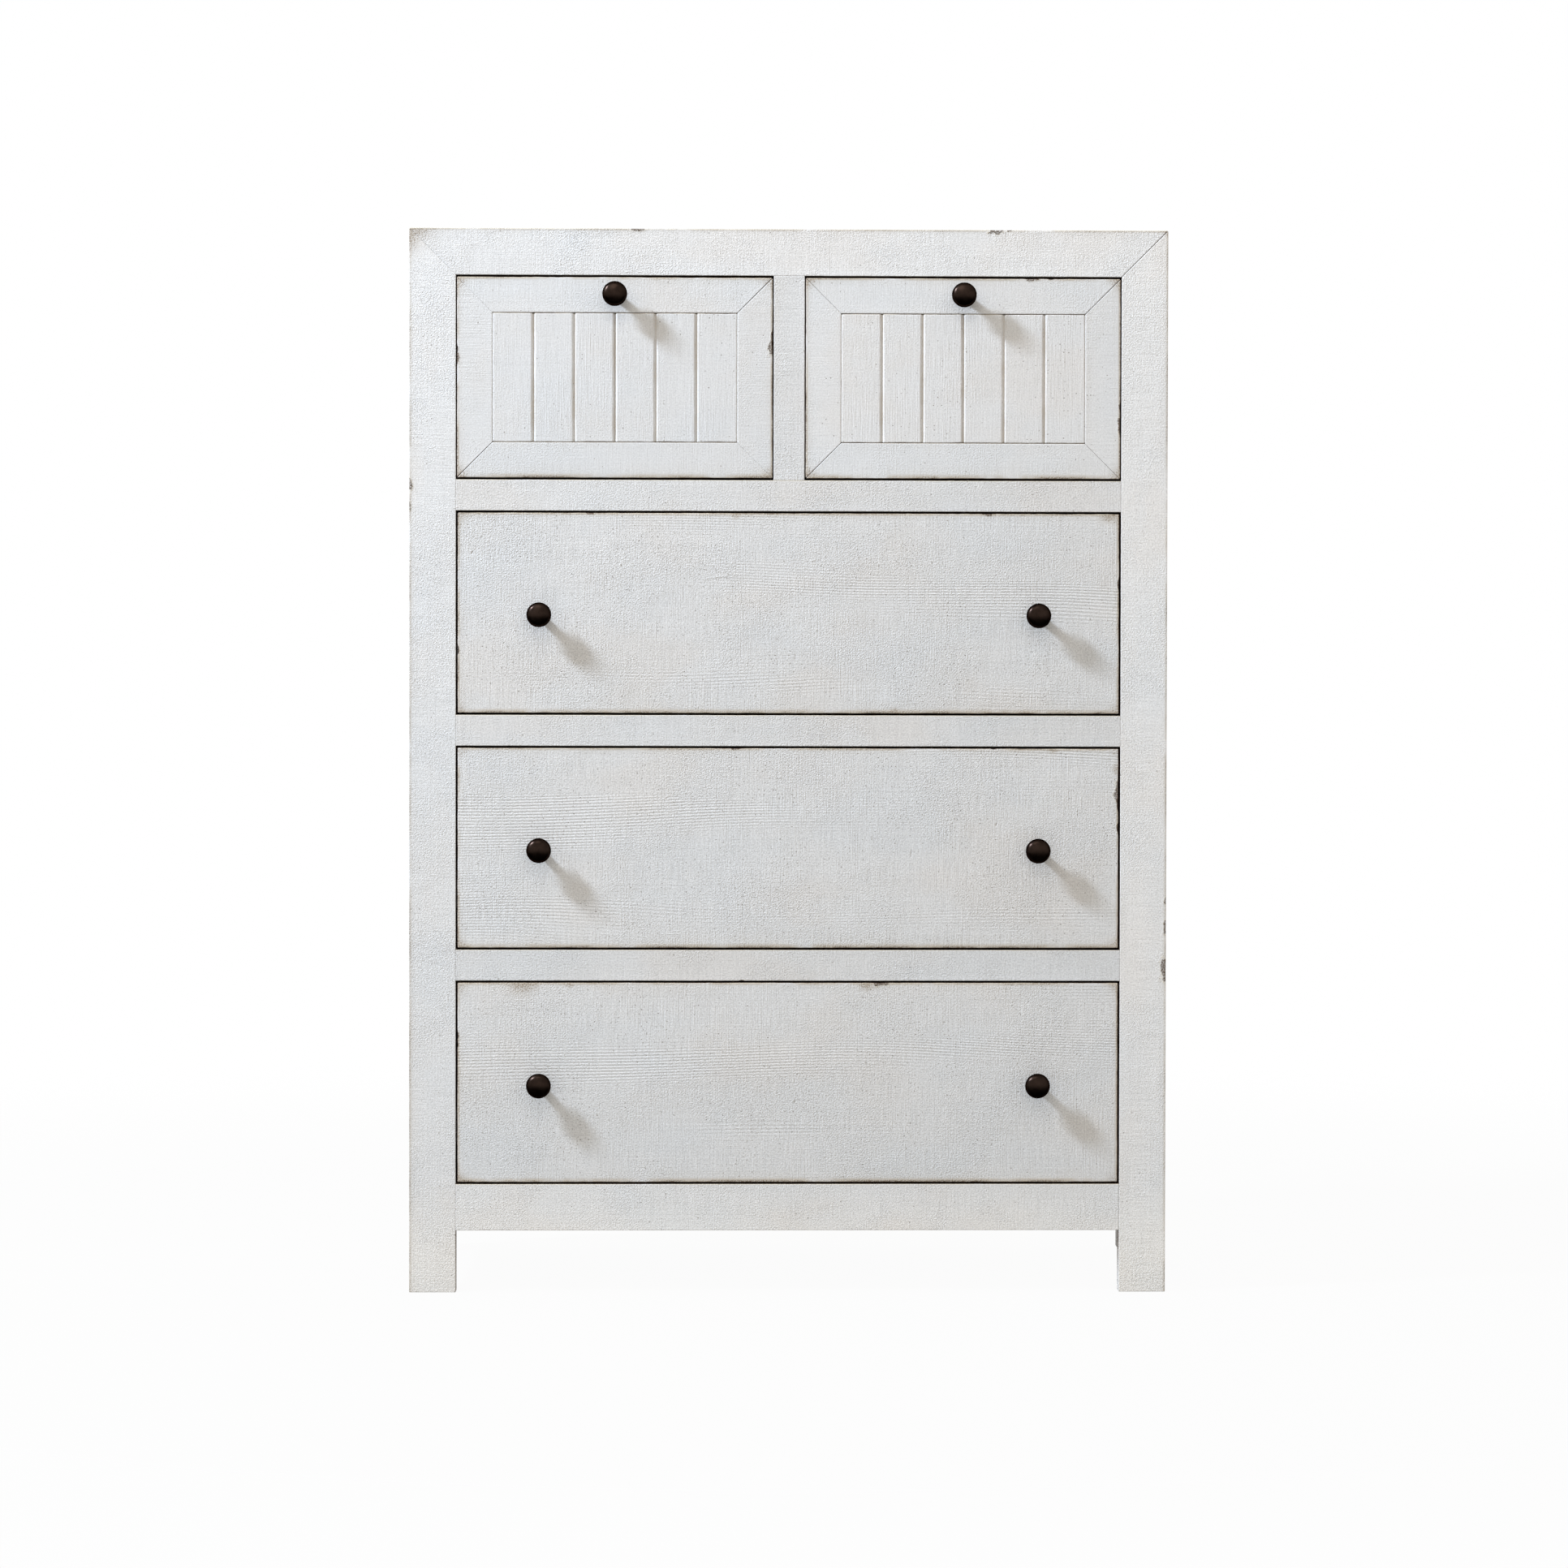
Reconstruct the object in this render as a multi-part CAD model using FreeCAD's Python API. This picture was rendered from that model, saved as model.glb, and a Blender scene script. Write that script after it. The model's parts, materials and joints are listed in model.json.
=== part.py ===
import FreeCAD, Part
import math
import os
from FreeCAD import Vector

# Tall chest of drawers: two small drawers side by side over three wide ones.
# Millimetres. X runs to the right, Y from the front to the back and Z up. The origin is
# on the floor, in the middle of the width and of the depth measured over the knobs.

# Whole chest
WIDTH = 978.0
HEIGHT = 1372.0
DEPTH = 457.0            # the case alone, without the knobs

# Face frame: two mitred stiles and a top rail, rails between the drawers
FRAME_T = 22.0
STILE_W = 60.0
FLOOR_CLEAR = 80.0       # floor to the underside of the bottom rail
BOTTOM_RAIL_H = 60.0
RAIL_H = 40.0
OPENING_H = 263.0
CENTRE_STILE_W = 40.0
ROWS = 4                 # rows of drawers

# Case behind the face frame
SIDE_T = 18.0            # side posts and side rails
TOP_T = 20.0
SIDE_PANEL_T = 8.0
SIDE_PANEL_RECESS = 6.0
SIDE_PLANKS = 6
BACK_T = 5.0
BACK_REBATE = 10.0
BACK_RAIL_T = 22.0
BACK_RAIL_H = 60.0
FLOOR_T = 12.0
FLOOR_UNDER = 112.0      # height of the floor panel's underside
HOUSING = 8.0            # how far a panel enters the groove that holds it
PARTITION_T = 18.0

# Drawer fronts, inset and flush with the face frame
FRONT_T = 20.0
GAP_Z = 2.5
GAP_X_WIDE = 2.25
GAP_X_SMALL = 1.25
MEMBER_W = 46.0          # mitred members of a small drawer's front
PANEL_T = 14.0
PANEL_TONGUE = 6.0
PANEL_FACE_T = 8.0       # front face of the panel to its tongue
SMALL_PLANKS = 6
GROOVE_W = 5.5
GROOVE_D = 2.7

# Drawer boxes, dovetailed
BOX_H = 200.0
BOX_L = 400.0
BOX_RAISE = 15.0         # opening's lower edge to the box's lower edge
BOX_T = 12.0
BOX_BOTTOM_T = 6.0
BOX_BOTTOM_RAISE = 10.0
BOX_GROOVE = 6.0
TAILS = 5
TAIL_WIDE = 26.0
TAIL_NARROW = 21.0

# Two-member drawer slides, one pair to a drawer
SLIDE_SPACE = 13.0       # between the drawer box and the side of the opening
SLIDE_L = 350.0
SLIDE_SETBACK = 25.0     # from the front face of the chest
SLIDE_RAISE = 60.0       # box's lower edge to the slide's centre line
SLIDE_STEEL = 1.2
OUTER_H = 45.0
OUTER_LIP = 11.0
INNER_H = 28.0
INNER_LIP = 8.0
STOP_L = 3.0
STOP_H = 12.0
STOP_CASE = 8.0          # how far the case member's stop stands out of its channel's back
STOP_DRAWER = 8.0
STOP_CLEAR = 0.3
TRAVEL = 262.0
CLEAT_H = 45.0

# Knobs and fasteners
KNOB_PROJECTION = 28.0
KNOB_R = 16.0
KNOB_RIM_H = 19.5        # front face of the drawer to the widest circle
KNOB_RIM_ROUND = 1.2     # how far the rim bulges past the dome's edge
KNOB_RIM_HALF = 2.2      # half the rim's height
KNOB_BASE_R = 9.0
KNOB_BASE_T = 1.8
KNOB_NECK_H = 6.5        # where the foot has narrowed to the waist
KNOB_WAIST_R = 5.2
KNOB_WAIST_H = 10.0      # where the waist starts to flare into the head
KNOB_INSET_WIDE = 107.5  # opening's side to a wide drawer's knob
KNOB_DROP = 3.0          # below the middle of a wide front
BOLT_R = 2.0
BOLT_HOLE_R = 2.25
BOLT_IN_KNOB = 12.0
SCREW_R = 2.0
SCREW_HEAD_R = 4.0
SCREW_HEAD_T = 2.4
SCREW_IN_FRONT = 14.0
SCREW_INSET = 19.5
SCREW_HEIGHTS = (50.0, 160.0)
SLIDE_SCREW_R = 1.75
SLIDE_SCREW_HEAD_R = 3.2
SLIDE_SCREW_HEAD_T = 1.6
SLIDE_SCREW_L = 10.0
SLIDE_SCREWS_AT = (40.0, 290.0)

# Planes and levels that several pieces share
FRONT_Y = KNOB_PROJECTION - (DEPTH + KNOB_PROJECTION) / 2
BACK_Y = FRONT_Y + DEPTH
FRAME_BACK_Y = FRONT_Y + FRAME_T
RAILS_FRONT_Y = BACK_Y - BACK_T - BACK_RAIL_T
HALF_WIDTH = WIDTH / 2
OPENING_X = HALF_WIDTH - STILE_W
INSIDE_X = HALF_WIDTH - SIDE_T
CENTRE_X = CENTRE_STILE_W / 2
LEVELS = [FLOOR_CLEAR + BOTTOM_RAIL_H + i * (OPENING_H + RAIL_H) for i in range(ROWS)]
LOWER, MIDDLE, UPPER, SMALL = LEVELS
TOP_RAIL_Z = SMALL + OPENING_H
TOP_UNDER = HEIGHT - TOP_T
SLIDE_Y = FRONT_Y + SLIDE_SETBACK
BOX_Y = FRONT_Y + FRONT_T
PAST = 1.0               # how far a cut runs past the piece it opens


def export(name, pieces):
    """Write one node: a single solid, or a group of separate solids."""
    shape = pieces[0] if len(pieces) == 1 else Part.makeCompound(pieces)
    shape.exportStep("parts/" + name + ".step")


def block(x0, x1, y0, y1, z0, z1):
    """A board between two x, two y and two z planes."""
    return Part.makeBox(x1 - x0, y1 - y0, z1 - z0, Vector(x0, y0, z0))


def prism(points, direction):
    """A flat outline pushed along a direction."""
    corners = [Vector(*point) for point in points]
    outline = Part.makePolygon(corners + corners[:1])
    return Part.Face(outline).extrude(Vector(*direction))


def face_prism(points, y0, y1):
    """An outline in the chest's front plane, from y0 back to y1."""
    return prism([(x, y0, z) for x, z in points], (0, y1 - y0, 0))


def mirrored(shape):
    """The same piece on the other side of the chest."""
    return shape.mirror(Vector(0, 0, 0), Vector(1, 0, 0))


def both_sides(shapes):
    return shapes + [mirrored(shape) for shape in shapes]


def cut_all(shape, tools):
    for tool in tools:
        shape = shape.cut(tool)
    return shape


def rod(radius, start, direction, length):
    return Part.makeCylinder(radius, length, Vector(*start), Vector(*direction))


def screw(start, direction, radius, length, head_radius, head_length):
    """A screw whose head rests at start and whose shank runs along direction."""
    shank = rod(radius, start, direction, length)
    back = [-value for value in direction]
    head = rod(head_radius, start, back, head_length)
    return shank.fuse(head).removeSplitter()


# --- Case ---------------------------------------------------------------------------


def mitred_frame():
    """Left stile, right stile and top rail, which meet in mitres at the top corners."""
    outer_corner = (-HALF_WIDTH, HEIGHT)
    inner_corner = (-OPENING_X, TOP_RAIL_Z)
    stile_outline = [(-HALF_WIDTH, 0), (-OPENING_X, 0), inner_corner, outer_corner]
    rail_outline = [outer_corner, inner_corner, (OPENING_X, TOP_RAIL_Z), (HALF_WIDTH, HEIGHT)]
    stile = face_prism(stile_outline, FRONT_Y, FRAME_BACK_Y)
    rail = face_prism(rail_outline, FRONT_Y, FRAME_BACK_Y)
    return stile, mirrored(stile), rail


def frame_rail(z0, height):
    return block(-OPENING_X, OPENING_X, FRONT_Y, FRAME_BACK_Y, z0, z0 + height)


def side_panel_blank():
    """The left side's panel with the edges that enter the posts and rails."""
    x0 = -HALF_WIDTH + SIDE_PANEL_RECESS
    y0 = FRONT_Y + STILE_W - HOUSING
    y1 = BACK_Y - STILE_W + HOUSING
    z0 = FLOOR_CLEAR + BOTTOM_RAIL_H - HOUSING
    z1 = TOP_RAIL_Z + HOUSING
    return block(x0, x0 + SIDE_PANEL_T, y0, y1, z0, z1)


def plank_grooves_x(x_face, y0, y1, planks, z0, z1):
    """Upright V grooves in a face that looks towards -X."""
    pitch = (y1 - y0) / planks
    grooves = []
    for i in range(1, planks):
        y = y0 + i * pitch
        section = [
            (x_face, y - GROOVE_W / 2, z0),
            (x_face, y + GROOVE_W / 2, z0),
            (x_face + GROOVE_D, y, z0),
        ]
        grooves.append(prism(section, (0, 0, z1 - z0)))
    return grooves


def build_case():
    left_stile, right_stile, top_rail = mitred_frame()
    bottom_rail = frame_rail(FLOOR_CLEAR, BOTTOM_RAIL_H)
    centre_stile = block(-CENTRE_X, CENTRE_X, FRONT_Y, FRAME_BACK_Y, SMALL, TOP_RAIL_Z)
    top_panel = block(-HALF_WIDTH, HALF_WIDTH, FRAME_BACK_Y, BACK_Y, TOP_UNDER, HEIGHT)

    floor_x = INSIDE_X + HOUSING
    floor_y0 = FRAME_BACK_Y - HOUSING
    floor_y1 = RAILS_FRONT_Y + HOUSING
    floor = block(-floor_x, floor_x, floor_y0, floor_y1, FLOOR_UNDER, FLOOR_UNDER + FLOOR_T)
    back_x = INSIDE_X + BACK_REBATE
    back = block(-back_x, back_x, BACK_Y - BACK_T, BACK_Y, FLOOR_CLEAR + BACK_REBATE, TOP_UNDER)
    blank = side_panel_blank()

    front_post = block(-HALF_WIDTH, -INSIDE_X, FRAME_BACK_Y, FRONT_Y + STILE_W, 0, TOP_UNDER)
    rear_post = block(-HALF_WIDTH, -INSIDE_X, BACK_Y - STILE_W, BACK_Y, 0, TOP_UNDER)
    posts = [cut_all(post, [blank, floor, back]) for post in (front_post, rear_post)]
    rails = []
    for z0, z1 in ((FLOOR_CLEAR, FLOOR_CLEAR + BOTTOM_RAIL_H), (TOP_RAIL_Z, TOP_UNDER)):
        rail = block(-HALF_WIDTH, -INSIDE_X, FRONT_Y + STILE_W, BACK_Y - STILE_W, z0, z1)
        rails.append(cut_all(rail, [blank, floor]))
    box = blank.BoundBox
    seen_y0 = box.YMin + HOUSING
    seen_y1 = box.YMax - HOUSING
    grooves = plank_grooves_x(box.XMin, seen_y0, seen_y1, SIDE_PLANKS, box.ZMin, box.ZMax)
    side_panel = cut_all(blank, grooves)

    back_rails = []
    for z0, height in ((FLOOR_CLEAR + BACK_REBATE, BACK_RAIL_H), (SMALL - RAIL_H, RAIL_H),
                       (TOP_UNDER - BACK_RAIL_H, BACK_RAIL_H)):
        rail = block(-INSIDE_X, INSIDE_X, RAILS_FRONT_Y, BACK_Y - BACK_T, z0, z0 + height)
        back_rails.append(rail.cut(floor))
    half = PARTITION_T / 2
    partition = block(-half, half, FRAME_BACK_Y, RAILS_FRONT_Y, SMALL - RAIL_H, TOP_UNDER)

    export("left_stile", [left_stile.cut(floor)])
    export("right_stile", [right_stile.cut(floor)])
    export("top_rail", [top_rail])
    export("upper_rail", [frame_rail(SMALL - RAIL_H, RAIL_H)])
    export("middle_rail", [frame_rail(UPPER - RAIL_H, RAIL_H)])
    export("lower_rail", [frame_rail(MIDDLE - RAIL_H, RAIL_H)])
    export("bottom_rail", [bottom_rail.cut(floor)])
    export("centre_stile", [centre_stile])
    export("top_panel", [top_panel])
    export("back_panel", [back])
    export("floor_panel", [floor])
    export("left_side_posts", posts)
    export("right_side_posts", [mirrored(post) for post in posts])
    export("side_rails", both_sides(rails))
    export("left_side_panel", [side_panel])
    export("right_side_panel", [mirrored(side_panel)])
    export("back_rails", back_rails)
    export("centre_partition", [partition])


# --- Drawer slides ------------------------------------------------------------------


def channel(back_x, toward, height, lip, z):
    """A steel channel along Y whose open side faces toward (+1 or -1 along X)."""
    x0, x1 = sorted((back_x, back_x + toward * lip))
    body = block(x0, x1, SLIDE_Y, SLIDE_Y + SLIDE_L, z - height / 2, z + height / 2)
    in_x0, in_x1 = sorted((back_x + toward * SLIDE_STEEL, back_x + toward * (lip + PAST)))
    half = height / 2 - SLIDE_STEEL
    return body.cut(block(in_x0, in_x1, SLIDE_Y - PAST, SLIDE_Y + SLIDE_L + PAST, z - half, z + half))


def stop_tab(back_x, toward, reach, y, z):
    x0, x1 = sorted((back_x + toward * SLIDE_STEEL, back_x + toward * reach))
    return block(x0, x1, y, y + STOP_L, z - STOP_H / 2, z + STOP_H / 2)


def case_member(opening_x, inward, z):
    """The channel fixed to the case, with its stop and its two screws."""
    steel = channel(opening_x, inward, OUTER_H, OUTER_LIP, z)
    steel = steel.fuse(stop_tab(opening_x, inward, STOP_CASE, SLIDE_Y, z)).removeSplitter()
    screws = slide_screws(opening_x + inward * SLIDE_STEEL, -inward, z)
    return cut_all(steel, screws), screws


def drawer_member(box_x, outward, z):
    """The channel on a drawer's side, with its stop and its two screws."""
    steel = channel(box_x, outward, INNER_H, INNER_LIP, z)
    stop_y = SLIDE_Y + STOP_L + STOP_CLEAR + TRAVEL
    steel = steel.fuse(stop_tab(box_x, outward, STOP_DRAWER, stop_y, z)).removeSplitter()
    screws = slide_screws(box_x + outward * SLIDE_STEEL, -outward, z)
    return cut_all(steel, screws), screws


def slide_screws(x, into, z):
    """Two screws along a channel, driven in the direction into (+1 or -1 along X)."""
    return [
        screw((x, SLIDE_Y + y, z), (into, 0, 0), SLIDE_SCREW_R, SLIDE_SCREW_L,
              SLIDE_SCREW_HEAD_R, SLIDE_SCREW_HEAD_T)
        for y in SLIDE_SCREWS_AT
    ]


def build_slides_on_case():
    """Cleats behind the face frame, flush with the openings, and the channels on them."""
    cleats = []
    members = []
    screws = []
    for level in LEVELS:
        z = level + BOX_RAISE + SLIDE_RAISE
        places = [(-INSIDE_X, -OPENING_X, -OPENING_X, 1)]
        if level == SMALL:
            places.append((-CENTRE_X, -PARTITION_T / 2, -CENTRE_X, -1))
        for x0, x1, face_x, inward in places:
            cleat = block(x0, x1, FRAME_BACK_Y, RAILS_FRONT_Y, z - CLEAT_H / 2, z + CLEAT_H / 2)
            steel, own_screws = case_member(face_x, inward, z)
            cleats.append(cut_all(cleat, own_screws))
            members.append(steel)
            screws.extend(own_screws)
    export("slide_cleats", both_sides(cleats))
    export("case_slide_channels", both_sides(members))
    export("case_slide_screws", both_sides(screws))


# --- Drawers ------------------------------------------------------------------------


def tail_prisms(x0, x1, end_y, inward, z0):
    """Dovetail tails of one corner: wide at end_y, narrow one board thickness inward."""
    pitch = BOX_H / TAILS
    tails = []
    for i in range(TAILS):
        z = z0 + (i + 0.5) * pitch
        shoulder_y = end_y + inward * BOX_T
        section = [
            (x0, end_y, z - TAIL_WIDE / 2),
            (x0, end_y, z + TAIL_WIDE / 2),
            (x0, shoulder_y, z + TAIL_NARROW / 2),
            (x0, shoulder_y, z - TAIL_NARROW / 2),
        ]
        tails.append(prism(section, (x1 - x0, 0, 0)))
    return tails


def dovetailed_box(x0, x1, z0):
    """Two sides, a front and back end, and the bottom held in their grooves."""
    y0 = BOX_Y
    y1 = BOX_Y + BOX_L
    z1 = z0 + BOX_H
    sides = [block(x0, x0 + BOX_T, y0, y1, z0, z1), block(x1 - BOX_T, x1, y0, y1, z0, z1)]
    ends = [block(x0, x1, y0, y0 + BOX_T, z0, z1), block(x0, x1, y1 - BOX_T, y1, z0, z1)]
    for side_index, corner_x in enumerate((x0, x1 - BOX_T)):
        for end_index, (end_y, inward) in enumerate(((y0, 1), (y1, -1))):
            low_y = min(end_y, end_y + inward * BOX_T)
            corner = block(corner_x, corner_x + BOX_T, low_y, low_y + BOX_T, z0, z1)
            tails = tail_prisms(corner_x, corner_x + BOX_T, end_y, inward, z0)
            pins = cut_all(corner, tails)
            sides[side_index] = sides[side_index].cut(pins)
            ends[end_index] = cut_all(ends[end_index], tails)
    reach = BOX_T - BOX_GROOVE
    bottom_z = z0 + BOX_BOTTOM_RAISE
    bottom = block(x0 + reach, x1 - reach, y0 + reach, y1 - reach, bottom_z, bottom_z + BOX_BOTTOM_T)
    sides = [side.cut(bottom) for side in sides]
    ends = [end.cut(bottom) for end in ends]
    return sides, ends, bottom


def profile_point(point):
    """A turned outline's (radius, height above the drawer's face) as a point."""
    radius, height = point
    return Vector(radius, -height, 0)


def profile_line(start, end):
    return Part.LineSegment(profile_point(start), profile_point(end)).toShape()


def profile_arc(start, middle, end):
    return Part.Arc(profile_point(start), profile_point(middle), profile_point(end)).toShape()


def knob(x, z):
    """A turned mushroom knob with a domed head, and a blind hole for its bolt."""
    cap_r = KNOB_R - KNOB_RIM_ROUND
    cap_base_h = KNOB_RIM_H + KNOB_RIM_HALF
    cap_h = KNOB_PROJECTION - cap_base_h
    dome_r = (cap_r ** 2 + cap_h ** 2) / (2 * cap_h)
    half_angle = math.asin(cap_r / dome_r) / 2
    neck_mid = ((KNOB_BASE_R + 2 * KNOB_WAIST_R) / 3, (KNOB_BASE_T + KNOB_NECK_H) / 2)
    flare_mid = ((KNOB_WAIST_R * 2 + cap_r) / 3, (KNOB_WAIST_H + KNOB_RIM_H) / 2)
    outline = Part.Wire([
        profile_line((0, 0), (KNOB_BASE_R, 0)),
        profile_line((KNOB_BASE_R, 0), (KNOB_BASE_R, KNOB_BASE_T)),
        profile_arc((KNOB_BASE_R, KNOB_BASE_T), neck_mid, (KNOB_WAIST_R, KNOB_NECK_H)),
        profile_line((KNOB_WAIST_R, KNOB_NECK_H), (KNOB_WAIST_R, KNOB_WAIST_H)),
        profile_arc((KNOB_WAIST_R, KNOB_WAIST_H), flare_mid, (cap_r, KNOB_RIM_H - KNOB_RIM_HALF)),
        profile_arc((cap_r, KNOB_RIM_H - KNOB_RIM_HALF), (KNOB_R, KNOB_RIM_H), (cap_r, cap_base_h)),
        profile_arc(
            (cap_r, cap_base_h),
            (dome_r * math.sin(half_angle), KNOB_PROJECTION - dome_r * (1 - math.cos(half_angle))),
            (0, KNOB_PROJECTION),
        ),
        profile_line((0, KNOB_PROJECTION), (0, 0)),
    ])
    turned = Part.Face(outline).revolve(Vector(0, 0, 0), Vector(0, 1, 0), 360)
    turned.translate(Vector(x, FRONT_Y, z))
    return turned.cut(rod(BOLT_R, (x, FRONT_Y, z), (0, -1, 0), BOLT_IN_KNOB))


def knob_bolt(x, z):
    length = BOX_T + FRONT_T + BOLT_IN_KNOB
    return screw((x, BOX_Y + BOX_T, z), (0, -1, 0), BOLT_R, length, SCREW_HEAD_R, SCREW_HEAD_T)


def bolt_hole(x, z):
    """The hole for a knob's bolt through the box's front end and the drawer's front."""
    return rod(BOLT_HOLE_R, (x, BOX_Y + BOX_T, z), (0, -1, 0), BOX_T + FRONT_T)


def front_screws(x0, x1, z0):
    """Four screws from inside the box into the drawer's front."""
    return [
        screw((x, BOX_Y + BOX_T, z0 + height), (0, -1, 0), SCREW_R, BOX_T + SCREW_IN_FRONT,
              SCREW_HEAD_R, SCREW_HEAD_T)
        for x in (x0 + SCREW_INSET, x1 - SCREW_INSET)
        for height in SCREW_HEIGHTS
    ]


def plank_panel(x0, x1, z0, z1):
    """A flush panel with upright V grooves and a tongue round its back half."""
    face = block(x0, x1, FRONT_Y, FRONT_Y + PANEL_FACE_T, z0, z1)
    tongue = block(x0 - PANEL_TONGUE, x1 + PANEL_TONGUE, FRONT_Y + PANEL_FACE_T, FRONT_Y + PANEL_T,
                   z0 - PANEL_TONGUE, z1 + PANEL_TONGUE)
    panel = face.fuse(tongue)
    pitch = (x1 - x0) / SMALL_PLANKS
    for i in range(1, SMALL_PLANKS):
        x = x0 + i * pitch
        section = [
            (x - GROOVE_W / 2, FRONT_Y, z0),
            (x + GROOVE_W / 2, FRONT_Y, z0),
            (x, FRONT_Y + GROOVE_D, z0),
        ]
        panel = panel.cut(prism(section, (0, 0, z1 - z0)))
    return panel


def mitred_front(x0, x1, z0, z1):
    """A small drawer's front: two rails, two stiles and the grooved panel they hold."""
    inner = (x0 + MEMBER_W, x1 - MEMBER_W, z0 + MEMBER_W, z1 - MEMBER_W)
    panel = plank_panel(*inner)
    in_x0, in_x1, in_z0, in_z1 = inner
    outlines = [
        [(x0, z0), (x1, z0), (in_x1, in_z0), (in_x0, in_z0)],
        [(x0, z1), (x1, z1), (in_x1, in_z1), (in_x0, in_z1)],
        [(x0, z0), (in_x0, in_z0), (in_x0, in_z1), (x0, z1)],
        [(x1, z0), (in_x1, in_z0), (in_x1, in_z1), (x1, z1)],
    ]
    members = [face_prism(outline, FRONT_Y, FRONT_Y + FRONT_T).cut(panel) for outline in outlines]
    return members[:2], members[2:], panel


def build_drawer(name, opening_x0, opening_x1, level, small):
    gap_x = GAP_X_SMALL if small else GAP_X_WIDE
    front_x0 = opening_x0 + gap_x
    front_x1 = opening_x1 - gap_x
    front_z0 = level + GAP_Z
    front_z1 = level + OPENING_H - GAP_Z
    box_x0 = opening_x0 + SLIDE_SPACE
    box_x1 = opening_x1 - SLIDE_SPACE
    box_z0 = level + BOX_RAISE
    slide_z = box_z0 + SLIDE_RAISE

    if small:
        knob_places = [((front_x0 + front_x1) / 2, front_z1 - MEMBER_W / 2)]
    else:
        knob_z = (front_z0 + front_z1) / 2 - KNOB_DROP
        knob_places = [(opening_x0 + KNOB_INSET_WIDE, knob_z), (opening_x1 - KNOB_INSET_WIDE, knob_z)]
    bolts = [knob_bolt(x, z) for x, z in knob_places]
    bolt_holes = [bolt_hole(x, z) for x, z in knob_places]
    screws = front_screws(box_x0, box_x1, box_z0)

    sides, ends, bottom = dovetailed_box(box_x0, box_x1, box_z0)
    holes = bolt_holes + screws
    ends[0] = cut_all(ends[0], holes)
    members = []
    slide_screw_list = []
    for i, (side_x, outward) in enumerate(((box_x0, -1), (box_x1, 1))):
        steel, own_screws = drawer_member(side_x, outward, slide_z)
        sides[i] = cut_all(sides[i], own_screws)
        members.append(steel)
        slide_screw_list.extend(own_screws)

    if small:
        rails, stiles, panel = mitred_front(front_x0, front_x1, front_z0, front_z1)
        export(name + "_front_rails", [cut_all(rail, holes) for rail in rails])
        export(name + "_front_stiles", [cut_all(stile, holes) for stile in stiles])
        export(name + "_front_panel", [panel])
    else:
        front = block(front_x0, front_x1, FRONT_Y, FRONT_Y + FRONT_T, front_z0, front_z1)
        export(name + "_front", [cut_all(front, holes)])
    export(name + "_box_sides", sides)
    export(name + "_box_ends", ends)
    export(name + "_box_bottom", [bottom])
    export(name + "_knobs", [knob(x, z) for x, z in knob_places])
    export(name + "_screws", bolts + screws + slide_screw_list)
    export(name + "_slide_channels", members)


os.makedirs("parts", exist_ok=True)
build_case()
build_slides_on_case()
build_drawer("left_drawer", -OPENING_X, -CENTRE_X, SMALL, True)
build_drawer("right_drawer", CENTRE_X, OPENING_X, SMALL, True)
build_drawer("upper_drawer", -OPENING_X, OPENING_X, UPPER, False)
build_drawer("middle_drawer", -OPENING_X, OPENING_X, MIDDLE, False)
build_drawer("lower_drawer", -OPENING_X, OPENING_X, LOWER, False)
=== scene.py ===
import json
import math

import bpy
import numpy as np
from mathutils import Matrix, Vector

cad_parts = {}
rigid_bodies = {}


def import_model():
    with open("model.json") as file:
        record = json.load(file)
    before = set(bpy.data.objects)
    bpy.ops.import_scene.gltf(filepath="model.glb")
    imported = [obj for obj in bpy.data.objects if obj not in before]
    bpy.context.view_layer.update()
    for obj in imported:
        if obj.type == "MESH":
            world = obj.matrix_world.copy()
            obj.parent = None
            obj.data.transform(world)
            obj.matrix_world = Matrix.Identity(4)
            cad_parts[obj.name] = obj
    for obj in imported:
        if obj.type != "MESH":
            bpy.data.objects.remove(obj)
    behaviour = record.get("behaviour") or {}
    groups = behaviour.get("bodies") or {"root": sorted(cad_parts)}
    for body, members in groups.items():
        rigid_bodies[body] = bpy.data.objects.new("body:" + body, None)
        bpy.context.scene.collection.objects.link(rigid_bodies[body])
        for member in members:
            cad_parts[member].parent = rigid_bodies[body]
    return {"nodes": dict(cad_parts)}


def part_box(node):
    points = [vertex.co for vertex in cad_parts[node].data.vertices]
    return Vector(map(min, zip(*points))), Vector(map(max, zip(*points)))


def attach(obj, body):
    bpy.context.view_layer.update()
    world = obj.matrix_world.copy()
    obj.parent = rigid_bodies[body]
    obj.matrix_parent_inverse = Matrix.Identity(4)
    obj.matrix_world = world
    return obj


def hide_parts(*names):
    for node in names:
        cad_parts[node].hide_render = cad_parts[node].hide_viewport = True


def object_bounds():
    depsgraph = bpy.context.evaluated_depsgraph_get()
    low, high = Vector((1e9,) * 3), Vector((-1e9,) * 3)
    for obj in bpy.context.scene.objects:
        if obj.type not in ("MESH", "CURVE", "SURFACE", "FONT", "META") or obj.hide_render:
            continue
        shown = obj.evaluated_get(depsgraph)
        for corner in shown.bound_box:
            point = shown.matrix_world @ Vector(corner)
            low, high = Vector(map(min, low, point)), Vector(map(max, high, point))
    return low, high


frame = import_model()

# The tall chest's looks. Every board of painted wood is rebuilt round its CAD node with
# worn, eased edges; the drawer boxes, slides and back keep their CAD shapes. Metres.

MM = 0.001
cad_low, cad_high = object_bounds()

# --- Sizes of the finish ---

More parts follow.
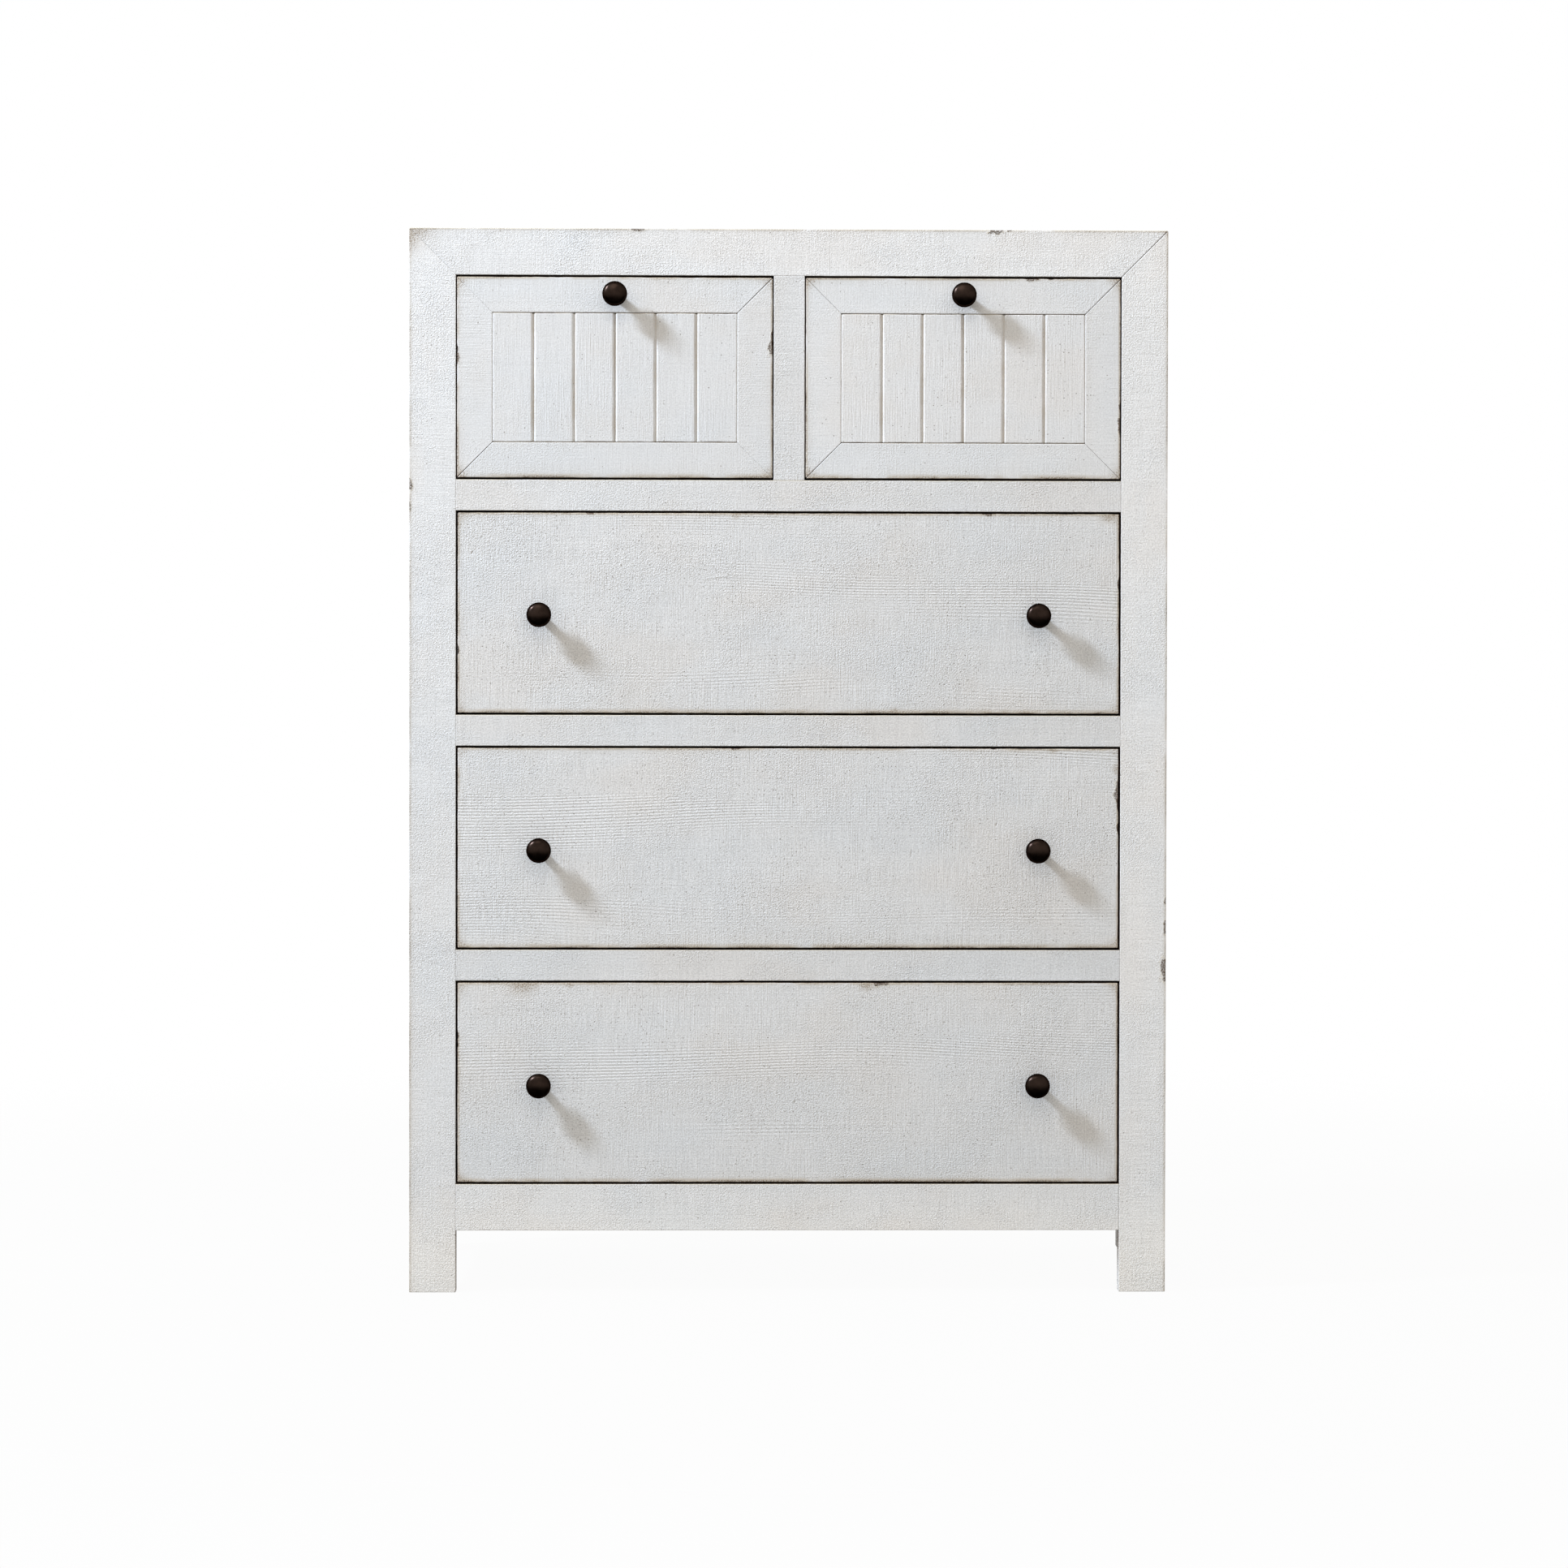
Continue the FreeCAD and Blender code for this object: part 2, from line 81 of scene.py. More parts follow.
EDGE_ROUND = 1.3 * MM  # eased edge of a painted board
JOINT_ROUND = 0.5 * MM  # where two boards meet flush
FRAME_EDGE = 0.7 * MM  # eased edge of the face frame
FRAME_CLOSED, FRAME_OPENED = 0.9 * MM, 1.5 * MM  # the face frame's left and right mitre
TIGHT, SNUG, OPEN = 0.7 * MM, 1.0 * MM, 1.6 * MM  # mitres of the small fronts
PANEL_ROUND = 1.4 * MM  # round the grooved panels
EDGE_CUTS = [0.4 * MM, 0.9 * MM, 1.6 * MM, 2.6 * MM, 4.0 * MM, 6.0 * MM]
CLOSEST = 0.3 * MM  # grid lines are no nearer to each other
FACE_STEP = 4.0 * MM  # grid on a board's faces
SIDE_STEP = 7.0 * MM  # grid on boards that the front doesn't show
WAVE_HEIGHT = 0.12 * MM  # slow unevenness of planed faces
GROOVE_HALF = 2.5 * MM  # half the width of a V-groove between planks
GROOVE_DEPTH = 2.7 * MM
GROOVE_LINES = np.arange(-7, 8, 2) / 5  # grid lines over a groove, in half widths
NO_GROOVE = -4.0
LEAST_ROUND = 0.25 * MM
MOST_ROUND = 0.45  # share of the board's thinnest side
STAIN_AND_SHADE_FROM = 0.15 * MM  # how far back from the show face the paint gives out to brown stain and painted gap shade
STAIN_AND_SHADE_FULL = 0.8 * MM
GAP_SHADE_DEPTH = 3.5 * MM  # beyond this the painted black gap shade thins to the brown stain
DEEP_STAIN = 0.4  # the share of it that is left there
FOOT_TOP = 80 * MM  # below this the stain and painted gap shade on the legs' inner sides are thin, so they show brown
CORNER_RUB = 26 * MM  # reach of the rubbed haze in a front's corners
FAR_AWAY = 50 * MM  # stands for a distance to an edge that isn't there
CHIP_SQUAT = 0.45  # a chip's reach into the face, for each unit along its edge
DENT_STEP = 0.6 * MM  # grid over a dent
LOWER_EDGE = 0.6  # the lower edge's glaze seems this much nearer, so it is wider
RISE_PAINTED_LIGHT = 0.13  # painted light: how much lighter the paint is made with each metre of height, standing in for the lamp's fall-off towards the floor
MID_HEIGHT = 0.75
FOOT_BOUNCE_LIGHT = 0.10  # painted bounce light: how much lighter the paint is made again at the feet, near the floor
FOOT_BOUNCE_FADE = (0.03, 0.16)  # heights between which that painted bounce light fades out
OUTER_SIDE_SHADE = 0.38  # painted shade: how much darker the frame's outer sides are made, where the raking lamp lights them strongly

X, Y, Z = 0, 1, 2
FRONT, LEFT, RIGHT, TOP = (Y, -1), (X, -1), (X, 1), (Z, 1)


# --- Noise on points ---


def lattice_value(ix, iy, iz, seed):
    """A fixed random value from -1 to 1 for each whole-number point."""
    mixed = (ix * 374761393 + iy * 668265263 + iz * 1274126177 + seed * 974711) & 0xFFFFFFFF
    mixed = ((mixed ^ (mixed >> 13)) * 1103515245) & 0xFFFFFFFF
    mixed = ((mixed ^ (mixed >> 16)) * 69069) & 0xFFFFFFFF
    return (mixed >> 8 & 0xFFFF) / 32767.5 - 1.0


def noise(points, size, seed=0):
    """Smooth noise from -1 to 1 whose lumps are about size metres apart."""
    scaled = points / size
    cell = np.floor(scaled).astype(np.int64)
    part = scaled - cell
    part = part * part * (3 - 2 * part)
    total = np.zeros(len(points))
    for dx in (0, 1):
        for dy in (0, 1):
            for dz in (0, 1):
                weight = np.ones(len(points))
                for axis, step in enumerate((dx, dy, dz)):
                    weight = weight * (part[:, axis] if step else 1 - part[:, axis])
                corner = (cell[:, 0] + dx, cell[:, 1] + dy, cell[:, 2] + dz)
                total += weight * lattice_value(*corner, seed)
    return total


def smooth(value, low, high):
    """0 below low, 1 above high, and an S between them."""
    t = np.clip((value - low) / (high - low), 0, 1)
    return t * t * (3 - 2 * t)


# --- Boards ---


def cuts(length, step, fine_at=()):
    """Grid lines from 0 to length: close at both ends and round fine_at, else step apart."""
    near = [c for c in EDGE_CUTS if c < length / 2]
    inner_low = near[-1]
    count = max(1, round((length - 2 * inner_low) / step))
    middle = np.linspace(inner_low, length - inner_low, count + 1)
    lines = set(np.round([0, length, *near, *(length - c for c in near), *middle, *fine_at], 6))
    lines = sorted(x for x in lines if 0 <= x <= length)
    kept = [lines[0]]
    for x in lines[1:-1]:
        if x - kept[-1] > CLOSEST and length - x > CLOSEST:
            kept.append(x)
    return np.array(kept + [lines[-1]])


def shell(us, vs, ws):
    """The surface of a box on three sets of grid lines: its points and its quads."""
    shape = (len(us), len(vs), len(ws))
    inside = np.zeros(shape, bool)
    inside[1:-1, 1:-1, 1:-1] = True
    number = np.full(shape, -1, np.int64)
    number[~inside] = np.arange((~inside).sum())
    grid = np.stack(np.meshgrid(us, vs, ws, indexing="ij"), -1)
    points = grid[~inside]
    quads = []
    for axis in range(3):
        for end, flip in ((0, True), (-1, False)):
            side = np.take(number, end, axis)
            a, b, c, d = side[:-1, :-1], side[1:, :-1], side[1:, 1:], side[:-1, 1:]
            ring = [a, b, c, d] if flip == (axis == 1) else [a, d, c, b]
            quads.append(np.stack([x.ravel() for x in ring], -1))
    return points, np.concatenate(quads)


def add_object(name, data):
    thing = bpy.data.objects.new(name, data)
    bpy.context.scene.collection.objects.link(thing)
    return thing


def set_attribute(mesh, key, values):
    kind, field = ("FLOAT_VECTOR", "vector") if values.ndim == 2 else ("FLOAT", "value")
    layer = mesh.attributes.new(key, kind, "POINT")
    layer.data.foreach_set(field, values.astype(np.float32).ravel())


def new_mesh(name, points, quads, attributes, material):
    """A smooth-shaded object with float attributes and vector attributes on its points."""
    mesh = bpy.data.meshes.new(name)
    mesh.vertices.add(len(points))
    mesh.vertices.foreach_set("co", points.astype(np.float32).ravel())
    mesh.loops.add(quads.size)
    mesh.loops.foreach_set("vertex_index", quads.astype(np.int32).ravel())
    mesh.polygons.add(len(quads))
    mesh.polygons.foreach_set("loop_start", np.arange(0, quads.size, 4, dtype=np.int32))
    mesh.update(calc_edges=True)
    mesh.validate()
    for key, values in attributes.items():
        set_attribute(mesh, key, values)
    mesh.shade_smooth()
    mesh.materials.append(material)
    return add_object(name, mesh)


def in_metres(marks, lengths):
    """Chips, rubs or dents with their lengths, at these places of each, in metres."""
    return [[v * MM if i in lengths else v for i, v in enumerate(mark)] for mark in marks]


def fine_lines(size, chips, dents):
    """Extra grid lines along u and along v where the chips and dents are."""
    long, wide, _ = size
    fine_u, fine_v = [], []
    for fu, fv, chip_size, _ in chips:
        fine_u += [fu * long + k * chip_size / 4 for k in range(-4, 5)]
        fine_v += [fv * wide + k * chip_size / 4 for k in range(-4, 5)]
    for fu, fv, half_long, half_wide, turn, _ in dents:
        reach_u = abs(half_long * math.cos(turn)) + abs(half_wide * math.sin(turn))
        reach_v = abs(half_long * math.sin(turn)) + abs(half_wide * math.cos(turn))
        fine_u += list(fu * long + np.arange(-1.5, 1.5, DENT_STEP / reach_u) * reach_u)
        fine_v += list(fv * wide + np.arange(-1.5, 1.5, DENT_STEP / reach_v) * reach_v)
    return fine_u, fine_v


def rounded(points, size, at, spot, edge_round, flush, chips, seed):
    """The points with eased and chipped edges, and how bare of paint each one is.

    flush gives the radius of each edge that meets another board.
    """
    radius = edge_round * (1 + 0.3 * noise(spot, 22 * MM, seed) + 0.25 * noise(spot, 7 * MM, seed + 1))
    for key, flush_round in flush.items():
        others = np.min([d for k, d in at.items() if k != key], 0)
        near = (1 - smooth(at[key], 2 * MM, 5 * MM)) * smooth(others - at[key], -1 * MM, 1 * MM)
        radius = radius + (flush_round - radius) * near
    bare = np.zeros(len(points))
    for fu, fv, chip_size, depth in chips:
        ragged = 1 + 0.35 * noise(spot, 5 * MM, seed + 7)
        on_end = fu in (0.0, 1.0)
        along_u = (points[:, 0] - fu * size[0]) / (CHIP_SQUAT if on_end else 1.0)
        along_v = (points[:, 1] - fv * size[1]) / (1.0 if on_end else CHIP_SQUAT)
        along_w = points[:, 2] / CHIP_SQUAT
        far = np.sqrt(along_u ** 2 + along_v ** 2 + along_w ** 2) / (chip_size * ragged)
        bite = 1 - smooth(far, 0.25, 1.0)
        radius = radius + depth * bite * (0.75 + 0.5 * noise(spot, 2.5 * MM, seed + 9))
        bare = np.maximum(bare, bite)
    radius = np.clip(radius, LEAST_ROUND, MOST_ROUND * size.min())[:, None]
    core = np.clip(points, radius, size - radius)
    out = points - core
    return core + out * (radius / np.maximum(np.linalg.norm(out, axis=1, keepdims=True), 1e-9)), bare


def unevenness(points, size, spot, seed):
    """How far the slow waves of planing lift the show face, inside its edges."""
    edge = np.sort(np.minimum(points, size - points), 1)[:, 1]
    wave = noise(spot * [0.35, 1, 1], 60 * MM, seed + 3) + 0.4 * noise(spot, 14 * MM, seed + 4) - 0.6
    return WAVE_HEIGHT * wave * near_front(points) * smooth(edge, 0, 8 * MM)


def near_front(points):
    """1 on the show face, falling to 0 behind it."""
    return 1 - smooth(points[:, 2], 0, 6 * MM)


def dented(points, size, dents):
    """How deep the dents sink each point, and how dark their marks are."""
    sink, mark = np.zeros(len(points)), np.zeros(len(points))
    for fu, fv, half_long, half_wide, turn, depth in dents:
        du, dv = points[:, 0] - fu * size[0], points[:, 1] - fv * size[1]
        x = (du * math.cos(turn) + dv * math.sin(turn)) / half_long
        y = (dv * math.cos(turn) - du * math.sin(turn)) / half_wide
        dent = np.clip(1 - np.hypot(x, y), 0, 1) * near_front(points)
        sink += depth * dent
        mark = np.maximum(mark, dent * np.clip(depth / MM, 0, 1))
    return sink, mark


def groove_nearness(place, centres):
    """1 on the centre line of a V-groove, 0 at its lip, and less outside it."""
    groove = np.full(len(place), NO_GROOVE)
    for centre in centres:
        groove = np.maximum(groove, 1 - np.abs(place - centre) / GROOVE_HALF)
    return groove


def mitred(shaped, size, mitres):
    """Each mitred end slid along the grain by as much as it lies from the long edge."""
    share = shaped[:, 0] / size[0]
    for end, slope in enumerate(mitres):
        if slope:
            inset = (size[1] - shaped[:, 1]) if slope > 0 else shaped[:, 1]
            shaped[:, 0] += inset * (1 - share if end == 0 else -share)


def gap_stain_and_shade(at, sunk, stained_and_shaded):
    """Brown stain and painted black shade on the hidden sides of the stained edges, in the gaps between
    boards; deep in, only the brown is left.
    """
    stain = np.zeros(len(sunk))
    for key in stained_and_shaded:
        on_side = 1 - smooth(at[key], 0.2 * MM, 2.0 * MM)
        stain = np.maximum(stain, on_side * smooth(sunk, STAIN_AND_SHADE_FROM, STAIN_AND_SHADE_FULL))
    return stain * (1 - (1 - DEEP_STAIN) * smooth(sunk, GAP_SHADE_DEPTH, 1.7 * GAP_SHADE_DEPTH))


def rubbed_spots(shaped, size, sunk, rubs, corner_wear, worn):
    """How much the paint is rubbed thin: round each rub, and in the worn corners."""
    spots = [(fu * size[0], fv * size[1], rub_size, 1.0) for fu, fv, rub_size in rubs]
    spots += [(u, v, CORNER_RUB, corner_wear) for u in (0, size[0]) for v in (0, size[1])
              if ("v0" if v == 0 else "v1") in worn]
    rub = np.zeros(len(shaped))
    for u, v, rub_size, strength in spots:
        far = np.sqrt((shaped[:, 0] - u) ** 2 + (shaped[:, 1] - v) ** 2 + sunk ** 2) / rub_size
        rub = np.maximum(rub, strength * (1 - smooth(far, 0, 1)))
    return rub


def worn_distance(at, sunk, worn, lower):
    """Distance to the nearest worn edge; the lower edge counts as nearer than it is."""
    distance = np.full(len(sunk), FAR_AWAY)
    for key in worn:
        distance = np.minimum(distance, at[key] * (LOWER_EDGE if key == lower else 1.0) + sunk)
    return distance


def paint_tone_and_light(tone, lean, share, height, outer_side_shade, at, sunk, worn):
    """The paint's lightness: its board's own tone with painted light in it, painted light upward and at the
    foot, and painted shade on the frame's outer sides.
    """
    from_side = np.min([at[key] for key in worn], 0) if worn else np.full(len(sunk), FAR_AWAY)
    # painted shade on the frame boards' outer sides, behind the front arris
    on_outer_side = smooth(sunk, 1 * MM, 3 * MM) * (1 - smooth(from_side, 0, 2 * MM))
    tone = tone * (1 + lean * (share - 0.5)) * (1 - OUTER_SIDE_SHADE * outer_side_shade * on_outer_side)
    return tone * (1 + RISE_PAINTED_LIGHT * (height - MID_HEIGHT) + FOOT_BOUNCE_LIGHT * (1 - smooth(height, *FOOT_BOUNCE_FADE)))


def board(name, low, high, along, face, material, step=FACE_STEP, mitres=(0, 0), worn=(), stained_and_shaded=(),
          joints=(), chips=(), rubs=(), dents=(), grooves=0, corner_wear=0.0, outer_side_shade=0.0, rebate=(),
          edge_round=EDGE_ROUND, joint_round=JOINT_ROUND, mitre_rounds=(0, 0), tone=1.0, lean=0.0, seed=1):
    """A painted board between two corners.

    along is the axis of the grain, and face the axis and sign of the side that shows. The
    board's own axes are u along the grain, v across it and w inward from that side. mitres
    has each end's slope: 1 where the edge at the high side of v is the long one, -1 where the
    low one is. worn, stained_and_shaded and joints name edges as u0, u1, v0 or v1: rubbed
    through, bare and brown with painted black gap shade on their hidden side, or flush with
    another board. chips are (share of u, share of v, size, depth) at the show face's edges,
    rubs (share of u, share of v, size) where the paint is thin, and dents (share of u, share
    of v, half length, half width, turn in radians, depth), all in millimetres. rebate is
    (depth along v, least w) of a step cut from the hidden side at the high end of v, in
    metres. tone is the paint's lightness, partly the board's own and partly painted
    light, and lean how much more the high end of u has.
    """
    low, high = np.array(low, float), np.array(high, float)
    thick_axis, sign = face
    across = 3 - along - thick_axis
    size = (high - low)[[along, across, thick_axis]]
    long, wide, thick = size
    chips, rubs, dents = in_metres(chips, (2, 3)), in_metres(rubs, (2,)), in_metres(dents, (2, 3, 5))
    fine_u, fine_v = fine_lines(size, chips, dents)
    fine_w = []
    across_grooves = along == X
    pitch = (long if across_grooves else wide) / (grooves + 1)
    centres = [pitch * (i + 1) for i in range(grooves)]
    lines = [c + k * GROOVE_HALF for c in centres for k in GROOVE_LINES]
    fine_u += lines if across_grooves else []
    fine_v += [] if across_grooves else lines
    if rebate:
        fine_v += [wide - rebate[0] - 0.5 * MM, wide - rebate[0]]
        fine_w += [rebate[1] - 0.4 * MM, rebate[1]]
    points, quads = shell(cuts(long, step, fine_u), cuts(wide, step, fine_v), cuts(thick, step, fine_w))
    at = {"u0": points[:, 0], "u1": long - points[:, 0], "v0": points[:, 1], "v1": wide - points[:, 1]}
    offset = np.array([seed * 3.1, seed * 1.7, seed * 0.9])
    spot = points + offset

    flush = {key: joint_round for key in joints}
    flush.update({"u%d" % end: mitre_rounds[end] for end, slope in enumerate(mitres) if slope})
    shaped, bare = rounded(points, size, at, spot, edge_round, flush, chips, seed)
    sunk = shaped[:, 2].copy()
    shaped[:, 2] -= unevenness(points, size, spot, seed)
    sink, mark = dented(points, size, dents)
    shaped[:, 2] += sink
    if face != FRONT:
        shaped[:, 2] = np.maximum(shaped[:, 2], 0)
    groove = groove_nearness(points[:, 0 if across_grooves else 1], centres)
    cut = np.maximum(groove, 0) ** 1.1 * (1 - smooth(points[:, 2], 0.3 * thick, 0.7 * thick))
    shaped[:, 2] += GROOVE_DEPTH * cut
    if rebate:
        cut_away = shaped[:, 2] > rebate[1] - 0.1 * MM
        shaped[:, 1] = np.where(cut_away, np.minimum(shaped[:, 1], wide - rebate[0]), shaped[:, 1])
    mitred(shaped, size, mitres)

    world = np.zeros_like(shaped)
    world[:, along] = low[along] + shaped[:, 0]
    world[:, across] = low[across] + shaped[:, 1]
    world[:, thick_axis] = low[thick_axis] + shaped[:, 2] if sign < 0 else high[thick_axis] - shaped[:, 2]
    turned = (along, across, thick_axis) in ((0, 1, 2), (1, 2, 0), (2, 0, 1))
    if turned != (sign < 0):
        quads = quads[:, ::-1]
    height = world[:, Z]
    on_leg = np.where(height < FOOT_TOP, 0.2 + 0.4 * smooth(height, 0.01, FOOT_TOP), 1.0)
    level = along == X
    attributes = {
        "grain": shaped + offset,
        "edge": worn_distance(at, sunk, worn, "v0" if level else None) / MM,
        "top_edge": (at["v1"] + sunk if level else np.full(len(points), FAR_AWAY)) / MM,
        "rub": rubbed_spots(shaped, size, sunk, rubs, corner_wear, worn),
        "stain": gap_stain_and_shade(at, sunk, stained_and_shaded) * on_leg,
        "bare": bare,
        "mark": mark,
        "groove": groove,
        "foot": 1 - smooth(height, *FOOT_BOUNCE_FADE),
        "tone": paint_tone_and_light(tone, lean, points[:, 0] / long, height, outer_side_shade, at, sunk, worn),
    }
    return new_mesh(name, world, quads, attributes, material)


def solid_boxes(node):
    """The lowest and highest corner of each separate solid of a CAD node, left to right."""
    mesh = frame["nodes"][node].data
    points = np.array([v.co for v in mesh.vertices], float)
    _, merged = np.unique(np.round(points, 6), axis=0, return_inverse=True)
    merged = merged.ravel()
    parent = list(range(merged.max() + 1))

    def root(i):
        while parent[i] != i:
            parent[i] = parent[parent[i]]
            i = parent[i]
        return i

    for edge in mesh.edges:
        a, b = root(merged[edge.vertices[0]]), root(merged[edge.vertices[1]])
        parent[a] = b
    roots = np.array([root(i) for i in merged])
    boxes = [(points[roots == r].min(0), points[roots == r].max(0)) for r in sorted(set(roots))]
    return sorted(boxes, key=lambda b: tuple(np.round((b[0] + b[1]) / 2, 3)))


# --- Materials ---


class Shader:
    """A material or a world, and short ways to add nodes to it."""

    def __init__(self, name, kind=bpy.data.materials):
        self.block = kind.new(name)
        self.block.use_nodes = True
        self.tree = self.block.node_tree
        self.bsdf = self.tree.nodes.get("Principled BSDF")

    def add(self, kind, inputs=(), **settings):
        node = self.tree.nodes.new(kind)
        for key, value in settings.items():
            setattr(node, key, value)
        for key, value in dict(inputs).items():
            self.put(node.inputs[key], value)
        return node

    def put(self, socket, value):
        if isinstance(value, bpy.types.NodeSocket):
            self.tree.links.new(value, socket)
        else:
            socket.default_value = value

    def attribute(self, name):
        node = self.add("ShaderNodeAttribute", attribute_name=name)
        return node.outputs["Vector" if name == "grain" else "Fac"]

    def math(self, operation, a, b=0.0, c=0.0):
        return self.add("ShaderNodeMath", {0: a, 1: b, 2: c}, operation=operation).outputs[0]

    def times(self, a, b):
        return self.math("MULTIPLY", a, b)

    def scaled(self, vector, by):
        return self.add("ShaderNodeVectorMath", {0: vector, 1: by}, operation="MULTIPLY").outputs[0]

    def noise(self, vector, scale, detail=2.0, roughness=0.5):
        inputs = {"Vector": vector, "Scale": scale, "Detail": detail, "Roughness": roughness}
        return self.add("ShaderNodeTexNoise", inputs).outputs["Fac"]

    def stretched(self, vector, per_metre, detail=2.0, roughness=0.5):
        """Noise with so many lumps in a metre along each axis."""
        return self.noise(self.scaled(vector, per_metre), 1.0, detail, roughness)

    def step(self, value, low, high, to_low=0.0, to_high=1.0):
        inputs = {"Value": value, "From Min": low, "From Max": high, "To Min": to_low, "To Max": to_high}
        return self.add("ShaderNodeMapRange", inputs, interpolation_type="SMOOTHSTEP").outputs["Result"]

    def mix(self, share, a, b, blend="MIX"):
        node = self.add("ShaderNodeMix", {0: share, 6: a, 7: b}, data_type="RGBA", blend_type=blend)
        return node.outputs[2]

    def either(self, share, a, b):
        """The output of one shader node, or of another where share is 1."""
        return self.add("ShaderNodeMixShader", {0: share, 1: a, 2: b}).outputs[0]

    def total(self, *terms):
        result = terms[0]
        for term in terms[1:]:
            result = self.math("ADD", result, term)
        return result

    def bump(self, height):
        node = self.add("ShaderNodeBump", {"Height": height, "Strength": 1.0, "Distance": 1.0})
        self.put(self.bsdf.inputs["Normal"], node.outputs["Normal"])

    def finish(self, color, roughness, **constants):
        self.put(self.bsdf.inputs["Base Color"], color)
        self.put(self.bsdf.inputs["Roughness"], roughness)
        for key, value in constants.items():
            self.bsdf.inputs[key.replace("_", " ")].default_value = value
        return self.block


def rgb(red, green, blue):
    return (red, green, blue, 1.0)


PAINT = rgb(0.84, 0.84, 0.84)
PAINT_WARM = rgb(0.84, 0.825, 0.81)
PAINT_COOL = rgb(0.825, 0.835, 0.845)
CREAM = rgb(0.74, 0.67, 0.52)
GLAZE_LIGHT = rgb(0.52, 0.45, 0.35)
GLAZE_MID = rgb(0.33, 0.26, 0.19)
GLAZE_DARK = rgb(0.13, 0.09, 0.06)
SPECK = rgb(0.24, 0.21, 0.18)
# painted light: the warm tint of bounce light from the floor, laid on the feet
FOOT_BOUNCE_WARMTH = rgb(1.02, 0.995, 0.955)
STAIN_BROWN = rgb(0.24, 0.15, 0.10)
# painted shade: near-black laid on the boards' hidden sides, where the narrow gaps are in shade
GAP_SHADE = rgb(0.022, 0.016, 0.012)
PORE_DEPTH, BARE_ROUGHNESS = -0.10, 0.9  # millimetres


def specks(s, where, scale, density, size):
    """Small dark pores in the paint, gathered in loose clusters."""
    place = s.add("ShaderNodeSeparateXYZ", {0: where}).outputs
    slanted_x = s.math("MULTIPLY_ADD", place["Z"], 0.83, place["X"])
    slanted_y = s.math("MULTIPLY_ADD", place["Z"], 0.71, place["Y"])
    flat = s.add("ShaderNodeCombineXYZ", {0: slanted_x, 1: slanted_y}).outputs[0]
    dots = s.add("ShaderNodeTexVoronoi", {"Vector": flat, "Scale": scale, "Randomness": 1.0},
                 voronoi_dimensions="2D")
    chance = s.add("ShaderNodeSeparateXYZ", {0: dots.outputs["Color"]})
    cluster = s.step(s.noise(where, 11.0, 3.0, 0.6), 0.43, 0.67, 0.08 * density, density)
    present = s.math("LESS_THAN", chance.outputs["X"], cluster)
    radius = s.step(chance.outputs["Y"], 0.0, 1.0, 0.35 * size, size)
    dot = s.step(s.math("SUBTRACT", dots.outputs["Distance"], radius), -0.04, 0.02, 1.0, 0.0)
    depth = s.step(chance.outputs["Z"], 0.0, 1.0, 0.2, 1.0)
    return s.times(s.times(dot, depth), present)


def raised_rings(s, where):
    """The softwood's late-wood rings, where they stand out of the paint at all."""
    bend = s.stretched(where, (1.7, 6.5, 3.0), 1.0)
    across = s.add("ShaderNodeSeparateXYZ", {0: where}).outputs["Y"]
    rings = s.math("SINE", s.math("ADD", s.times(across, 1650.0), s.times(bend, 70.0)))
    return s.times(rings, s.step(s.stretched(where, (1.6, 15.0, 5.0), 1.0), 0.5, 0.72))


def relief(s, where, depths, density):
    """Bump of the painted surface, and the patterns that its colour follows as well.

    depths are those of the saw lines, cross lines, rings, stipple and lumps in millimetres.
    """
    saw_lines = s.stretched(where, (620.0, 22.0, 60.0), 1.5, 0.7)
    saw_mask = s.step(s.stretched(where, (14.0, 7.0, 9.0)), 0.30, 0.70, 0.45, 1.25)
    cross_lines = s.stretched(where, (5.0, 480.0, 60.0), 1.5, 0.7)
    cross_mask = s.step(s.stretched(where, (3.0, 14.0, 9.0)), 0.35, 0.68, 0.2, 1.3)
    fine = s.noise(where, 520.0, 1.5, 0.7)
    fine_mask = s.step(s.noise(where, 9.0, 3.0), 0.36, 0.64, 0.45, 1.4)
    lump = s.step(s.noise(s.scaled(where, (1.0, 0.8, 1.0)), 520.0, 2.0, 0.6), 0.5, 0.68)
    lump_mask = s.step(s.noise(where, 17.0, 3.0), 0.48, 0.68, 0.06, 1.1)
    pore = specks(s, where, 190.0, density, 0.16)
    patterns = [s.times(saw_lines, saw_mask), s.times(cross_lines, cross_mask), raised_rings(s, where),
                s.times(fine, fine_mask), s.times(lump, lump_mask), pore,
                s.times(s.attribute("bare"), fine)]
    heights = [depth * MM for depth in (*depths, PORE_DEPTH, BARE_ROUGHNESS)]
    s.bump(s.total(*(s.times(pattern, height) for pattern, height in zip(patterns, heights))))
    return saw_lines, cross_lines, fine, pore


def coat(s, where, saw_lines, cross_lines, fine, pore, relief_glaze_and_shade):
    """White paint in slightly warm and cool patches, darker in its pores, and darker in its hollows and
    lighter on its raised lines: partly glaze settled low, partly painted light and shade of the relief.
    """
    patch = s.stretched(where, (5.0, 8.0, 5.0), 3.0)
    color = s.mix(s.step(patch, 0.35, 0.5), PAINT_COOL, PAINT)
    color = s.mix(s.step(patch, 0.5, 0.65), color, PAINT_WARM)
    # painted light and shade of the relief, with glaze settled low: the bump's hollows darker, its raised
    # lines lighter
    hollows = s.total(s.times(saw_lines, 0.22), s.times(cross_lines, 0.12), s.times(fine, 0.62), -0.48)
    shade = s.times(s.math("MULTIPLY_ADD", hollows, relief_glaze_and_shade, 1.0), s.attribute("tone"))
    grey = s.add("ShaderNodeCombineXYZ", {0: shade, 1: shade, 2: shade}).outputs[0]
    color = s.mix(1.0, color, grey, "MULTIPLY")
    # painted warm bounce light from the floor on the feet
    color = s.mix(s.attribute("foot"), color, s.mix(1.0, color, FOOT_BOUNCE_WARMTH, "MULTIPLY"))
    return s.mix(s.times(pore, 0.85), color, SPECK)


